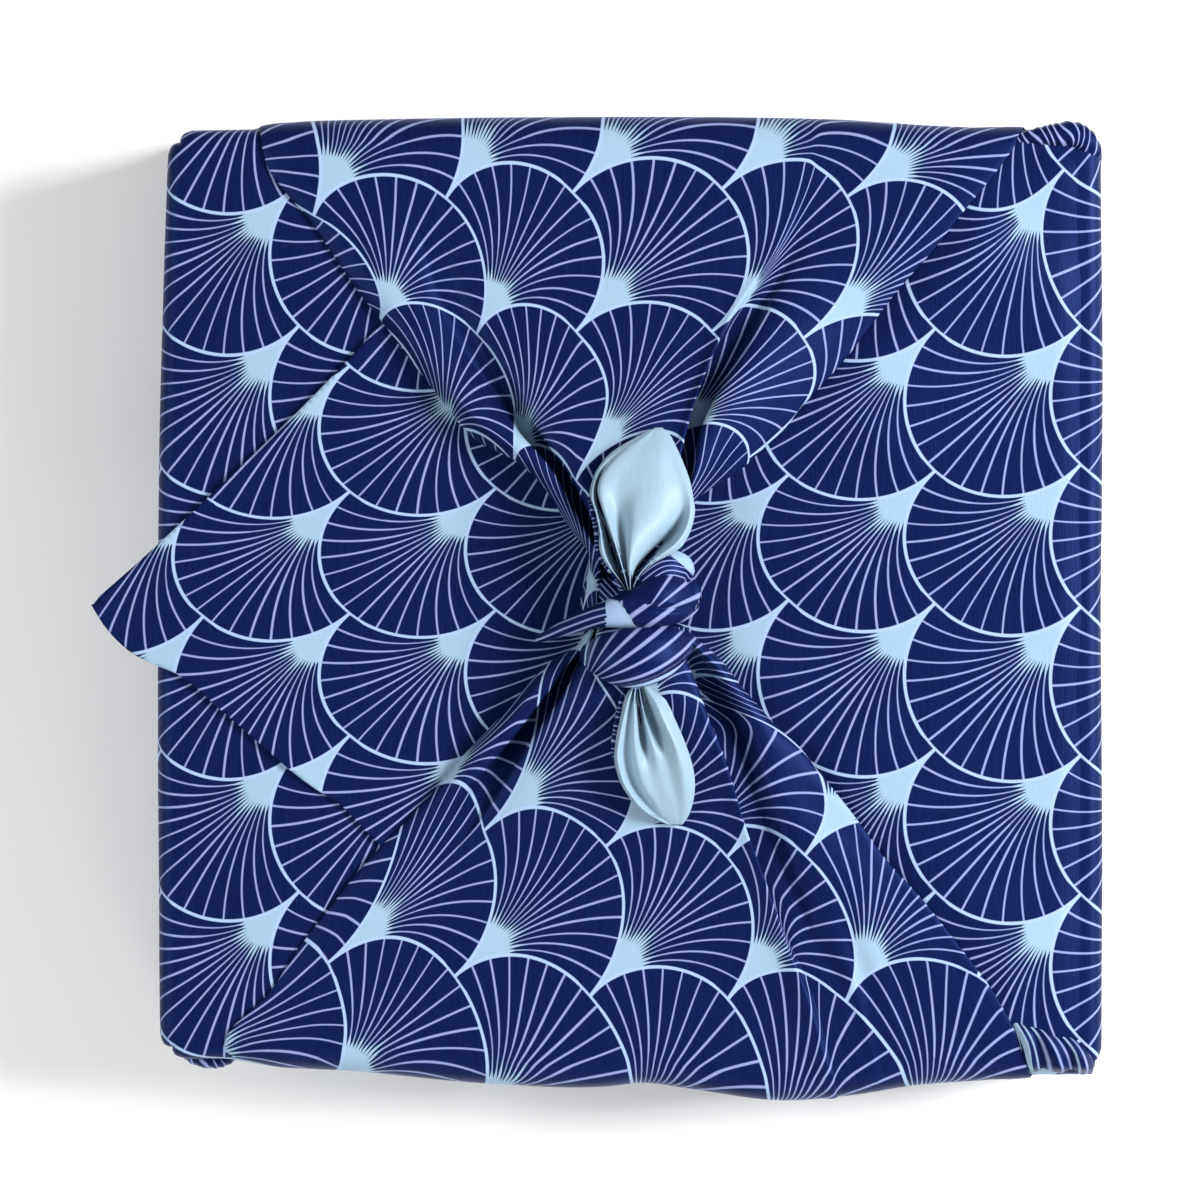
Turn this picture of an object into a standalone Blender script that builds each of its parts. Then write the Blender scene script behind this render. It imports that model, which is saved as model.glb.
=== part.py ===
"""Furoshiki wrap: one square cloth folded round a flat square parcel and tied on top.

The wrap is one solid. Its left corner lies flat on the parcel, the right corner is folded over it
so that its tip hangs past the far edge, and the two other corners are drawn up in gathers and tied
in a square knot with two short ears.

Origin: centre of the flat base, on the surface it rests on. +Y runs along the tied gathers, +X
away from the overhanging tip, +Z up. Tables are in millimetres.
"""

import math
from collections import namedtuple

import bmesh
import bpy
from mathutils import Vector

MM = 0.001

# Parcel.
HALF = 140.0
TOP = 52.0
CROWN = 0.8
CORNER_R = 6.0
SIDE_STEPS = 16
CORNER_STEPS = 3

# Cloth layers.
FLAP_STEP = 1.7
FLAP_SHEET = 2.0
GATHER_STEP = 1.5
EMBED = 3.0
ACROSS = 34
EAR_SHEET = 1.8

for old in list(bpy.data.objects):
    bpy.data.objects.remove(old, do_unlink=True)


def collection(name, helper=False):
    made = bpy.data.collections.new(name)
    bpy.context.scene.collection.children.link(made)
    made.hide_render = helper
    return made


WRAP = collection("furoshiki_wrap")
FOLDS = collection("folds", helper=True)


def object_from(name, bm, home):
    bmesh.ops.recalc_face_normals(bm, faces=bm.faces)
    mesh = bpy.data.meshes.new(name)
    bm.to_mesh(mesh)
    bm.free()
    made = bpy.data.objects.new(name, mesh)
    home.objects.link(made)
    return made


def smooth(t):
    t = min(max(t, 0.0), 1.0)
    return t * t * (3.0 - 2.0 * t)


def bell(offset, width):
    return math.exp(-((offset / width) ** 2))


def between(rows, key, at, name):
    """The named column of a table at a place between its rows, which are in order of the key column."""
    if at <= getattr(rows[0], key):
        return getattr(rows[0], name)
    for low, high in zip(rows, rows[1:]):
        if at <= getattr(high, key):
            share = (at - getattr(low, key)) / (getattr(high, key) - getattr(low, key))
            share = smooth(share)
            return getattr(low, name) * (1.0 - share) + getattr(high, name) * share
    return getattr(rows[-1], name)


# How far the cloth stands out of the parcel's square at places along each side.
Stand = namedtuple("Stand", "at out")
FRONT = (
    Stand(-130, -4.5),
    Stand(-112, -4.5),
    Stand(-84, -3.0),
    Stand(-42, 1.2),
    Stand(-6, 2.0),
    Stand(3, 0.6),
    Stand(18, 3.0),
    Stand(45, 6.4),
    Stand(66, 4.6),
    Stand(84, 1.6),
    Stand(106, 0.2),
    Stand(127, 1.2),
)
RIGHT = (
    Stand(-120, 0.4),
    Stand(-40, -0.4),
    Stand(60, 0.5),
    Stand(120, -0.2),
)
BACK = (
    Stand(-120, -1.0),
    Stand(-30, 1.0),
    Stand(60, 0.4),
    Stand(105, -1.6),
    Stand(128, 1.4),
)
LEFT = (
    Stand(-125, -2.6),
    Stand(-60, -0.6),
    Stand(10, 0.4),
    Stand(70, -1.4),
    Stand(125, -4.2),
)


def side_y(x, sign):
    """Distance of the front or back wall from the middle, at x."""
    return HALF + between(BACK if sign > 0 else FRONT, "at", x, "out")


def parcel_top(x, y):
    fill = (1.0 - (x / HALF) ** 2) * (1.0 - (y / HALF) ** 2)
    soft = 0.35 * math.sin(x / 27.0 + 1.0) * math.sin(y / 31.0)
    return TOP + (CROWN + soft) * max(fill, 0.0)


# The four sides in the order a ring runs, each with the way its table is read.
SIDES = ((RIGHT, 1), (BACK, -1), (LEFT, -1), (FRONT, 1))


def ring(inset):
    """One level round the parcel, a rounded square whose sides follow the Stand tables."""
    half = HALF - inset
    corner = max(CORNER_R - 0.5 * inset, 1.5)
    fade = 1.0 - smooth(inset / 22.0)
    run = half - corner
    points = []
    for turn, (table, way) in enumerate(SIDES):
        angle = turn * math.pi / 2.0
        out = Vector((math.cos(angle), math.sin(angle)))
        along = Vector((-math.sin(angle), math.cos(angle)))
        for step in range(SIDE_STEPS + 1):
            at = run * (2.0 * step / SIDE_STEPS - 1.0)
            stand = fade * between(table, "at", at * way, "out")
            points.append(out * (half + stand) + along * at)
        next_table, next_way = SIDES[(turn + 1) % 4]
        leaving = fade * between(table, "at", run * way, "out")
        entering = fade * between(next_table, "at", -run * next_way, "out")
        for step in range(1, CORNER_STEPS):
            share = step / CORNER_STEPS
            bend = share * math.pi / 2.0
            reach = out * (corner * math.cos(bend) + leaving * (1.0 - share))
            reach += along * (corner * math.sin(bend) + entering * share)
            points.append((out + along) * run + reach)
    return points


# Parcel levels, from the flat base up and over the soft top edge.
Level = namedtuple("Level", "z inset")
WALL = (
    Level(0.0, 5.0),
    Level(1.2, 2.2),
    Level(4.5, 0.8),
    Level(14.0, 0.2),
    Level(28.0, 0.0),
    Level(41.0, 0.3),
    Level(47.5, 1.0),
    Level(50.6, 2.6),
    Level(51.7, 5.0),
)
TOP_INSETS = (9.0, 17.0, 30.0, 47.0, 66.0, 88.0, 112.0, 130.0)


def parcel():
    bm = bmesh.new()
    rings = []
    for level in WALL:
        rings.append([bm.verts.new((p.x, p.y, level.z)) for p in ring(level.inset)])
    for inset in TOP_INSETS:
        rings.append([bm.verts.new((p.x, p.y, parcel_top(p.x, p.y))) for p in ring(inset)])
    count = len(rings[0])
    for low, high in zip(rings, rings[1:]):
        for i in range(count):
            j = (i + 1) % count
            bm.faces.new((low[i], low[j], high[j], high[i]))
    bm.faces.new(list(reversed(rings[0])))
    middle = bm.verts.new((0, 0, parcel_top(0, 0)))
    for i in range(count):
        bm.faces.new((rings[-1][i], rings[-1][(i + 1) % count], middle))
    bmesh.ops.scale(bm, vec=(MM, MM, MM), verts=bm.verts)
    return object_from("furoshiki_wrap", bm, WRAP)


def slab(name, outer, inner):
    """A closed body between two grids of points with the same rows and columns."""
    bm = bmesh.new()
    grids = [[[bm.verts.new(p * MM) for p in row] for row in grid] for grid in (outer, inner)]
    rows, columns = len(outer), len(outer[0])
    for grid in grids:
        for r in range(rows - 1):
            for c in range(columns - 1):
                bm.faces.new((grid[r][c], grid[r][c + 1], grid[r + 1][c + 1], grid[r + 1][c]))
    rim = [(0, c) for c in range(columns)]
    rim += [(r, columns - 1) for r in range(1, rows)]
    rim += [(rows - 1, c) for c in range(columns - 2, -1, -1)]
    rim += [(r, 0) for r in range(rows - 2, 0, -1)]
    for (r, c), (s, d) in zip(rim, rim[1:] + rim[:1]):
        bm.faces.new((grids[0][r][c], grids[0][s][d], grids[1][s][d], grids[1][r][c]))
    return object_from(name, bm, FOLDS)


# Right corner of the cloth, folded over to the left. Its free edges run from the tip, which hangs
# past the parcel's edge, to the gathers.
Strip = namedtuple("Strip", "x low high droop")
RIGHT_FLAP = (
    Strip(-159.0, -2.2, 0.8, 1.6),
    Strip(-152.0, -7.6, 6.4, 1.0),
    Strip(-145.0, -13.2, 13.0, 0.6),
    Strip(-138.0, -18.8, 19.8, 0.3),
    Strip(-130.0, -25.4, 27.6, 0.1),
    Strip(-116.0, -36.8, 41.2, 0.0),
    Strip(-98.0, -52.0, 58.6, 0.0),
    Strip(-80.0, -67.2, 75.8, 0.0),
    Strip(-58.0, -85.6, 97.0, 0.0),
    Strip(-30.0, -108.8, 123.0, 0.0),
    Strip(-10.0, -125.0, 130.0, 0.0),
    Strip(30.0, -130.0, 130.0, 0.0),
    Strip(72.0, -130.0, 130.0, 0.0),
    Strip(108.0, -130.0, 130.0, 0.0),
    Strip(130.0, -130.0, 130.0, 0.0),
)
FLAP_ACROSS = 16


def right_flap():
    outer, inner = [], []
    for strip in RIGHT_FLAP:
        top, under = [], []
        for step in range(FLAP_ACROSS + 1):
            y = strip.low + (strip.high - strip.low) * step / FLAP_ACROSS
            free = smooth((-126.0 - strip.x) / 14.0)
            edge = min(smooth((134.0 - strip.x) / 14.0), smooth((134.0 - abs(y)) / 12.0))
            wave = 0.5 * math.sin(y / 9.0 + strip.x / 16.0) * smooth((strip.x + 150.0) / 30.0)
            rest = parcel_top(max(strip.x, -132.0), y)
            z = rest + (FLAP_STEP + 0.5 * wave) * edge - 0.4 * (1.0 - edge) - strip.droop
            bottom = rest - EMBED
            top.append(Vector((strip.x, y, z)))
            under.append(Vector((strip.x, y, bottom * (1.0 - free) + (z - FLAP_SHEET) * free)))
        outer.append(top)
        inner.append(under)
    return slab("right_flap", outer, inner)


# A gather, from the parcel's edge in to the knot. left and right are its two folded edges, tent its
# height over the parcel, roll the tube along its left edge, and each valley has a place and a depth.
Gather = namedtuple("Gather", "y left right tent roll slit_x slit soft_x soft")
BACK_GATHER = (
    Gather(8.0, -9.0, 14.0, 17.0, 0.5, -6.0, 2.0, 5.0, 0.2),
    Gather(16.0, -11.5, 18.5, 19.0, 1.5, -9.0, 4.5, 6.0, 0.5),
    Gather(25.0, -18.5, 23.5, 17.5, 3.0, -12.8, 7.0, 8.0, 0.8),
    Gather(34.0, -29.0, 28.0, 15.0, 4.0, -17.4, 8.0, 11.0, 1.5),
    Gather(44.0, -41.0, 37.0, 12.0, 4.5, -22.8, 6.5, 14.0, 2.8),
    Gather(54.0, -52.0, 49.0, 9.0, 4.5, -27.0, 4.5, 18.5, 3.8),
    Gather(64.0, -60.5, 56.5, 6.5, 4.0, -32.0, 3.2, 24.0, 3.2),
    Gather(75.0, -67.5, 66.0, 4.5, 3.0, -37.0, 2.2, 29.0, 2.4),
    Gather(88.0, -76.5, 76.0, 3.0, 1.5, -40.0, 1.4, 35.0, 1.8),
    Gather(102.0, -87.5, 87.0, 2.2, 0.6, -43.0, 0.8, 43.0, 1.2),
    Gather(118.0, -98.6, 100.5, 1.8, 0.2, -46.0, 0.3, 51.0, 0.6),
    Gather(132.0, -104.5, 110.5, 1.6, 0.0, -50.0, 0.0, 56.0, 0.2),
)
FRONT_GATHER = (
    Gather(9.0, -15.0, 15.0, 17.0, 0.5, -10.0, 2.0, 12.0, 1.0),
    Gather(17.0, -21.0, 21.0, 18.0, 2.0, -14.5, 4.5, 18.5, 2.5),
    Gather(25.0, -28.0, 30.0, 16.5, 3.0, -20.5, 6.5, 24.0, 5.0),
    Gather(33.0, -36.5, 38.5, 14.0, 4.0, -26.5, 7.0, 27.6, 6.5),
    Gather(43.0, -47.5, 49.0, 11.0, 4.5, -34.0, 6.0, 30.6, 6.0),
    Gather(53.0, -57.5, 57.5, 8.5, 4.5, -41.0, 4.5, 33.6, 5.0),
    Gather(64.0, -68.0, 64.0, 6.0, 3.5, -49.0, 2.8, 37.0, 4.0),
    Gather(77.0, -78.0, 76.0, 4.2, 2.0, -54.0, 1.6, 40.5, 3.0),
    Gather(90.0, -87.5, 87.0, 3.0, 1.0, -58.0, 0.8, 44.0, 2.4),
    Gather(103.0, -97.0, 97.0, 2.2, 0.4, -62.0, 0.4, 47.0, 2.0),
    Gather(118.0, -107.0, 108.0, 1.8, 0.0, -66.0, 0.2, 51.0, 1.6),
    Gather(132.0, -116.5, 115.5, 1.6, 0.0, -70.0, 0.0, 55.0, 1.2),
)
# The gather's cloth on the wall, from the top edge down to the base. out is beyond the wall.
Drop = namedtuple("Drop", "z out spread")
DROPS = (
    Drop(53.0, -3.4, 0.03),
    Drop(51.8, -0.6, 0.06),
    Drop(48.5, 0.9, 0.10),
    Drop(38.0, 1.3, 0.32),
    Drop(24.0, 1.3, 0.60),
    Drop(10.0, 0.9, 0.88),
    Drop(2.5, -1.2, 1.00),
)
WALL_SPREAD = 132.0


def relief(row, x):
    """Height of a gather's folds over the parcel at x."""
    v = (x - row.left) / (row.right - row.left)
    body = 1.0 - abs(2.0 * v - 1.0) ** 5
    height = GATHER_STEP + row.tent * body
    height += row.roll * bell(x - row.left - 7.0, 6.0)
    height += 0.5 * row.roll * bell(x - row.right + 8.0, 6.0)
    height -= row.slit * bell(x - row.slit_x, 3.6)
    height -= row.soft * bell(x - row.soft_x - 2.0, 4.5)
    height += 0.35 * row.soft * bell(x - row.soft_x + 6.0, 4.5)
    return height


def gather(name, rows, sign):
    outer, inner = [], []
    for row in rows:
        top, under = [], []
        for step in range(ACROSS + 1):
            x = row.left + (row.right - row.left) * step / ACROSS
            rest = parcel_top(x, row.y)
            top.append(Vector((x, sign * row.y, rest + relief(row, x))))
            under.append(Vector((x, sign * row.y, rest - EMBED)))
        outer.append(top)
        inner.append(under)
    last = rows[-1]
    for drop in DROPS:
        left = last.left * (1.0 - drop.spread) - WALL_SPREAD * drop.spread
        right = last.right * (1.0 - drop.spread) + WALL_SPREAD * drop.spread
        top, under = [], []
        for step in range(ACROSS + 1):
            x = left + (right - left) * step / ACROSS
            home = last.left + (last.right - last.left) * step / ACROSS
            fold = 0.6 * (relief(last, home) - GATHER_STEP - last.tent) * (1.0 - drop.spread)
            wall = side_y(x, sign)
            top.append(Vector((x, sign * (wall + drop.out + fold), drop.z)))
            under.append(Vector((x, sign * (wall - 7.0), min(drop.z, TOP - 4.0))))
        outer.append(top)
        inner.append(under)
    return slab(name, outer, inner)


# Strands of the knot. Each row is the strand's centre, its width across and its depth.
Strand = namedtuple("Strand", "x y z width depth")
LOWER_BAND = (
    Strand(-10.0, 6.0, 62.0, 12.0, 11.0),
    Strand(-14.0, -3.0, 66.0, 13.0, 12.0),
    Strand(-12.0, -11.0, 72.0, 15.0, 12.0),
    Strand(-5.0, -15.5, 76.5, 18.0, 12.0),
    Strand(4.0, -14.5, 77.5, 20.0, 12.0),
    Strand(12.0, -10.0, 73.0, 17.0, 12.0),
    Strand(15.0, -3.0, 66.0, 13.0, 12.0),
    Strand(11.0, 5.0, 61.0, 11.0, 11.0),
)
UPPER_BAND = (
    Strand(-10.0, -15.0, 57.0, 9.0, 10.0),
    Strand(-18.0, -12.0, 62.0, 9.0, 10.0),
    Strand(-19.0, -7.5, 67.5, 9.0, 10.0),
    Strand(-13.0, -4.0, 72.5, 10.0, 10.0),
    Strand(-3.0, -1.0, 76.0, 10.0, 9.0),
    Strand(6.0, 2.0, 76.0, 12.0, 9.0),
    Strand(13.5, 6.0, 72.0, 13.0, 10.0),
    Strand(15.0, 11.0, 65.0, 13.0, 11.0),
    Strand(11.0, 14.0, 59.0, 13.0, 11.0),
)
SECTION = 12


def spline(table, steps):
    """Smooth stations between the rows of a Strand table."""
    stations = []
    for i in range(len(table) - 1):
        four = [table[min(max(i + k, 0), len(table) - 1)] for k in (-1, 0, 1, 2)]
        for step in range(steps):
            t = step / steps
            weights = (
                -0.5 * t + t * t - 0.5 * t**3,
                1.0 - 2.5 * t * t + 1.5 * t**3,
                0.5 * t + 2.0 * t * t - 1.5 * t**3,
                -0.5 * t * t + 0.5 * t**3,
            )
            columns = [sum(w * row[c] for w, row in zip(weights, four)) for c in range(5)]
            stations.append(Strand(*columns))
    stations.append(table[-1])
    return stations


def strand(name, table):
    stations = spline(table, 3)
    bm = bmesh.new()
    rings = []
    for i, at in enumerate(stations):
        before, after = stations[max(i - 1, 0)], stations[min(i + 1, len(stations) - 1)]
        along = Vector((after.x - before.x, after.y - before.y, after.z - before.z)).normalized()
        side = along.cross(Vector((0.0, 0.0, 1.0))).normalized()
        up = side.cross(along)
        loop = []
        for step in range(SECTION):
            angle = 2.0 * math.pi * step / SECTION
            reach = side * (0.5 * at.width * math.cos(angle)) + up * (0.5 * at.depth * math.sin(angle))
            loop.append(bm.verts.new((Vector((at.x, at.y, at.z)) + reach) * MM))
        rings.append(loop)
    for low, high in zip(rings, rings[1:]):
        for i in range(SECTION):
            j = (i + 1) % SECTION
            bm.faces.new((low[i], low[j], high[j], high[i]))
    bm.faces.new(list(reversed(rings[0])))
    bm.faces.new(rings[-1])
    return object_from(name, bm, FOLDS)


def knot_core():
    bm = bmesh.new()
    bmesh.ops.create_icosphere(bm, subdivisions=3, radius=1.0)
    bmesh.ops.scale(bm, vec=(17.0 * MM, 17.0 * MM, 16.0 * MM), verts=bm.verts)
    bmesh.ops.translate(bm, vec=(0.5 * MM, -4.0 * MM, 62.0 * MM), verts=bm.verts)
    return object_from("knot_core", bm, FOLDS)


# Ears. Each row is the middle of the ear, half its width, and how deep its middle fold sinks.
Ear = namedtuple("Ear", "x y z half cup")
BACK_EAR = (
    Ear(-0.5, -1.0, 74.0, 3.6, 1.5),
    Ear(-0.2, 6.0, 77.5, 4.6, 2.6),
    Ear(1.0, 14.0, 79.5, 8.4, 3.6),
    Ear(2.6, 23.0, 79.0, 13.0, 3.4),
    Ear(3.4, 32.0, 76.5, 15.4, 2.6),
    Ear(3.8, 39.0, 73.5, 13.2, 1.8),
    Ear(4.8, 45.0, 70.5, 8.4, 1.0),
    Ear(5.9, 49.6, 68.0, 2.4, 0.3),
)
FRONT_EAR = (
    Ear(0.0, -20.0, 71.0, 3.8, 1.5),
    Ear(0.4, -28.0, 74.0, 4.8, 2.2),
    Ear(3.2, -36.0, 74.5, 8.0, 2.8),
    Ear(6.2, -44.0, 73.0, 10.8, 2.8),
    Ear(7.6, -51.5, 70.5, 11.4, 2.2),
    Ear(9.2, -58.0, 67.5, 9.4, 1.5),
    Ear(11.0, -63.0, 65.0, 6.0, 0.8),
    Ear(12.8, -66.4, 63.5, 2.2, 0.3),
)
EAR_ACROSS = 8


def ear(name, rows):
    outer, inner = [], []
    for row in rows:
        top, under = [], []
        for step in range(EAR_ACROSS + 1):
            v = 2.0 * step / EAR_ACROSS - 1.0
            fold = row.cup * (abs(v) ** 1.4 - 0.45 - 0.5 * bell(v + 0.45, 0.2))
            point = Vector((row.x + row.half * v, row.y, row.z + fold))
            top.append(point)
            under.append(point - Vector((0.0, 0.0, EAR_SHEET)))
        outer.append(top)
        inner.append(under)
    return slab(name, outer, inner)


# Rolled tucks where the spare cloth of a corner is folded in.
BACK_RIGHT_TUCK = (
    Strand(110.0, 136.0, 44.0, 5.0, 6.0),
    Strand(119.0, 138.5, 49.0, 6.5, 6.5),
    Strand(129.0, 138.5, 50.5, 6.5, 7.0),
    Strand(136.0, 134.5, 49.0, 5.0, 6.0),
)
FRONT_RIGHT_TUCK = (
    Strand(108.0, -120.0, 51.5, 4.0, 4.0),
    Strand(118.0, -130.0, 52.5, 6.0, 5.0),
    Strand(128.0, -137.5, 50.5, 7.0, 6.0),
    Strand(135.5, -137.5, 44.0, 5.0, 6.0),
)
FRONT_LEFT_TUCK = (
    Strand(-112.0, -132.0, 20.0, 5.0, 6.0),
    Strand(-120.0, -135.0, 24.0, 5.0, 7.0),
    Strand(-128.0, -135.5, 26.0, 5.0, 7.0),
    Strand(-134.5, -133.0, 25.0, 5.0, 6.0),
)


def cloth_material():
    """Smooth printed polyester satin, mid navy once its pale line pattern is averaged in."""
    made = bpy.data.materials.new("printed_satin")
    made.use_nodes = True
    bsdf = made.node_tree.nodes["Principled BSDF"]
    bsdf.inputs["Base Color"].default_value = (0.066, 0.095, 0.26, 1.0)
    bsdf.inputs["Roughness"].default_value = 0.55
    bsdf.inputs["Metallic"].default_value = 0.0
    return made


wrap = parcel()
folds = [
    right_flap(),
    gather("back_gather", BACK_GATHER, 1),
    gather("front_gather", FRONT_GATHER, -1),
    knot_core(),
    strand("lower_band", LOWER_BAND),
    strand("upper_band", UPPER_BAND),
    ear("back_ear", BACK_EAR),
    ear("front_ear", FRONT_EAR),
    strand("back_right_tuck", BACK_RIGHT_TUCK),
    strand("front_right_tuck", FRONT_RIGHT_TUCK),
    strand("front_left_tuck", FRONT_LEFT_TUCK),
]
for fold in folds:
    fold.display_type = "WIRE"
    fold.hide_render = True
    union = wrap.modifiers.new(fold.name, "BOOLEAN")
    union.operation = "UNION"
    union.solver = "EXACT"
    union.object = fold
wrap.data.materials.append(cloth_material())
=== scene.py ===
import math
from collections import namedtuple

import bmesh
import bpy
import numpy as np
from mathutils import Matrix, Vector


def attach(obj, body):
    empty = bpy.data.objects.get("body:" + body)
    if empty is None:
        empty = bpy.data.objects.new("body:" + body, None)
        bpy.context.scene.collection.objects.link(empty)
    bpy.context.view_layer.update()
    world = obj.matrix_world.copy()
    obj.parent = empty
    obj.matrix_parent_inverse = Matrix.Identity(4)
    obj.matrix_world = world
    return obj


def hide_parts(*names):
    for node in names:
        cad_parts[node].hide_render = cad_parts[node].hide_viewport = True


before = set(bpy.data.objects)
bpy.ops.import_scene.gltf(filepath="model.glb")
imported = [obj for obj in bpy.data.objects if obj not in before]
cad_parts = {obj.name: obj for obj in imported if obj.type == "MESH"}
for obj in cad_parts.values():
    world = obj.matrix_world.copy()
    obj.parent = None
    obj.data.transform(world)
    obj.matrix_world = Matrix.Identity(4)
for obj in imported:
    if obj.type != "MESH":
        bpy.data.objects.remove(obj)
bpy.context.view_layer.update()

# ------------------------------
# Cloth round the parcel: the middle of one square printed cloth, drawn up the four sides of a flat
# parcel and folded over its top from the left. Recycled polyester, woven as a smooth satin and
# printed on one side; the parcel inside never shows.

MM = 0.001
HALF = 140.0      # half the parcel's side
TOP = 52.0        # parcel's height under the upper layers
SOFT_EDGE = 5.0   # the cloth's bend over an edge of the parcel
ROUND = 9.0       # and round its upright corners
CLOTH = 0.7       # thickness of the cloth
REPEAT = 43.1     # one square repeat of the print


def rows_of(kind, *rows):
    """A table with named columns."""
    return [kind(*row) for row in rows]


# How far the cloth stands out of the parcel's square, at places along each side.
Stand = namedtuple("Stand", "at out")
FRONT = rows_of(Stand,
    (-132, -5.6), (-119, -5.6), (-108, -4.2), (-84, -2.8), (-42, 1.0), (-6, 1.8), (3, 0.8), (18, 2.6),
    (45, 6.0), (66, 4.4), (84, 1.6), (106, 0.2), (127, 1.0))
RIGHT = rows_of(Stand, (-130, -0.4), (-60, 0.0), (-10, -0.6), (60, 0.2), (130, -0.6))
BACK = rows_of(Stand, (-130, -1.0), (-30, 0.8), (60, 0.2), (105, -1.8), (130, 0.6))
LEFT = rows_of(Stand, (-130, -0.6), (-60, 0.0), (10, 0.2), (70, -1.2), (130, -4.0))


def curve(t, start, end, start_slope, end_slope, span):
    """A smooth curve between two values, each with its slope. t runs from 0 to 1 over the span."""
    value = (2 * t**3 - 3 * t**2 + 1) * start + (3 * t**2 - 2 * t**3) * end
    return value + ((t**3 - 2 * t**2 + t) * start_slope + (t**3 - t**2) * end_slope) * span


def follow(rows, column, at):
    """A table's column, read smoothly at any values of its first column."""
    keys = np.array([row[0] for row in rows], float)
    values = np.array([getattr(row, column) for row in rows], float)
    slopes = np.gradient(values, keys)
    i = np.clip(np.searchsorted(keys, at) - 1, 0, len(keys) - 2)
    span = keys[i + 1] - keys[i]
    t = np.clip((at - keys[i]) / span, 0.0, 1.0)
    return curve(t, values[i], values[i + 1], slopes[i], slopes[i + 1], span)


def smooth(t):
    t = np.clip(t, 0.0, 1.0)
    return t * t * (3.0 - 2.0 * t)


def ripple(x, y, size, seed):
    """Soft unevenness of about +-1, with waves of the given size in millimetres."""
    rng = np.random.default_rng(seed)
    total = np.zeros_like(x)
    for _ in range(9):
        angle, phase = rng.uniform(0.0, 2.0 * math.pi, 2)
        wave = size * rng.uniform(0.7, 1.6)
        total += np.sin((x * math.cos(angle) + y * math.sin(angle)) * 2.0 * math.pi / wave + phase)
    return total / 4.0


def parcel_top(x, y):
    """Height of the layer that lies on the parcel."""
    fill = np.clip(1.0 - (x / HALF) ** 4, 0.0, 1.0) * np.clip(1.0 - (y / HALF) ** 4, 0.0, 1.0)
    return TOP + (0.8 + 0.35 * ripple(x, y, 90.0, 3) + 0.1 * ripple(x, y, 38.0, 4)) * fill


def node(tree, kind, *inputs, **settings):
    """Adds one node, or one step of arithmetic where kind is its operation. inputs are the sockets'
    links or values in order, or one dictionary of them by the sockets' names or numbers."""
    if not kind.startswith("ShaderNode"):
        kind, settings["operation"] = "ShaderNodeMath", kind
    made = tree.nodes.new(kind)
    for name, value in settings.items():
        setattr(made, name, value)
    by_name = inputs[0] if inputs and isinstance(inputs[0], dict) else dict(enumerate(inputs))
    for socket, value in by_name.items():
        if isinstance(value, bpy.types.NodeSocket):
            tree.links.new(value, made.inputs[socket])
        else:
            made.inputs[socket].default_value = value
    return made.outputs[0]


def linear(hex_colour):
    """An sRGB hex colour as the linear values that a shader takes."""
    parts = [int(hex_colour[i:i + 2], 16) / 255.0 for i in (1, 3, 5)]
    return [c / 12.92 if c <= 0.04045 else ((c + 0.055) / 1.055) ** 2.4 for c in parts] + [1.0]


def material(name):
    made = bpy.data.materials.new(name)
    made.use_nodes = True
    return made, made.node_tree


# Printed polyester satin: a smooth face with a soft bluish sheen. The print is a traditional repeat of
# overlapping fans, each a half circle standing on a cusp, with fine ribs and a pale foot.
NAVY, NAVY_DEEP = "#0b1642", "#081038"
RIB, RIM, FOOT = "#828cba", "#95adcd", "#8ba7bd"
FAN = REPEAT / math.sqrt(2.0)   # radius of a fan, 30.5 mm
RIB_HALF = 0.29 / FAN           # half a rib's width, in fan radii
RIM_HALF = 0.48 / FAN           # half a rim's width
EDGE = 0.22 / FAN               # softness of a printed edge
RIBS = 15                       # divisions of a fan's half circle
FOOT_LENGTH = 0.61              # the pale foot's length at a fan's sides, in fan radii
THREAD = 0.55                   # thread spacing in mm, about twice the real one so that it shows
STREAK = 14.0                   # length of the dye's streaks in mm
RELIEF = 0.0002                 # height of the weave in metres

printed, tree = material("printed_polyester_satin")
cloth_uv = node(tree, "ShaderNodeUVMap", uv_map="cloth")
column = node(tree, "ShaderNodeSeparateXYZ", cloth_uv)
line = column.node.outputs[1]
across = node(tree, "SUBTRACT", column, line)
upward = node(tree, "ADD", column, line)
row = node(tree, "FLOOR", upward)
rise = node(tree, "SUBTRACT", upward, row)
shifted = node(tree, "SUBTRACT", across, row)
wrapped = node(tree, "FLOORED_MODULO", shifted, 2.0)
u = node(tree, "SUBTRACT", wrapped, 1.0)
u_squared = node(tree, "MULTIPLY", u, u)
disc_squared = node(tree, "MULTIPLY_ADD", rise, rise, u_squared)
disc = node(tree, "SQRT", disc_squared)
# Inside a disc the point belongs to that fan's round part, else to the foot of the fan above.
inside = node(tree, "LESS_THAN", disc, 1.0)
outside = node(tree, "SUBTRACT", 1.0, inside)
side = node(tree, "SIGN", u)
step_over = node(tree, "MULTIPLY", side, outside)
fan_u = node(tree, "SUBTRACT", u, step_over)
fan_q = node(tree, "ADD", rise, inside)
fan_u2 = node(tree, "MULTIPLY", fan_u, fan_u)
reach2 = node(tree, "MULTIPLY_ADD", fan_q, fan_q, fan_u2)
reach = node(tree, "SQRT", reach2)
twice_u = node(tree, "MULTIPLY", fan_u, 2.0)
lean = node(tree, "DIVIDE", twice_u, reach2)
angle = node(tree, "ARCTANGENT", lean)
sector = node(tree, "MULTIPLY", angle, 2.0 * RIBS / math.pi)
part = node(tree, "FRACT", sector)
centred = node(tree, "SUBTRACT", part, 0.5)
off_rib = node(tree, "ABSOLUTE", centred)
lean2 = node(tree, "MULTIPLY_ADD", lean, lean, 1.0)
gap = node(tree, "MULTIPLY", lean2, reach2)
rib_unit = node(tree, "MULTIPLY", gap, math.pi / (4.0 * RIBS))
rib_distance = node(tree, "MULTIPLY", off_rib, rib_unit)
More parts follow.
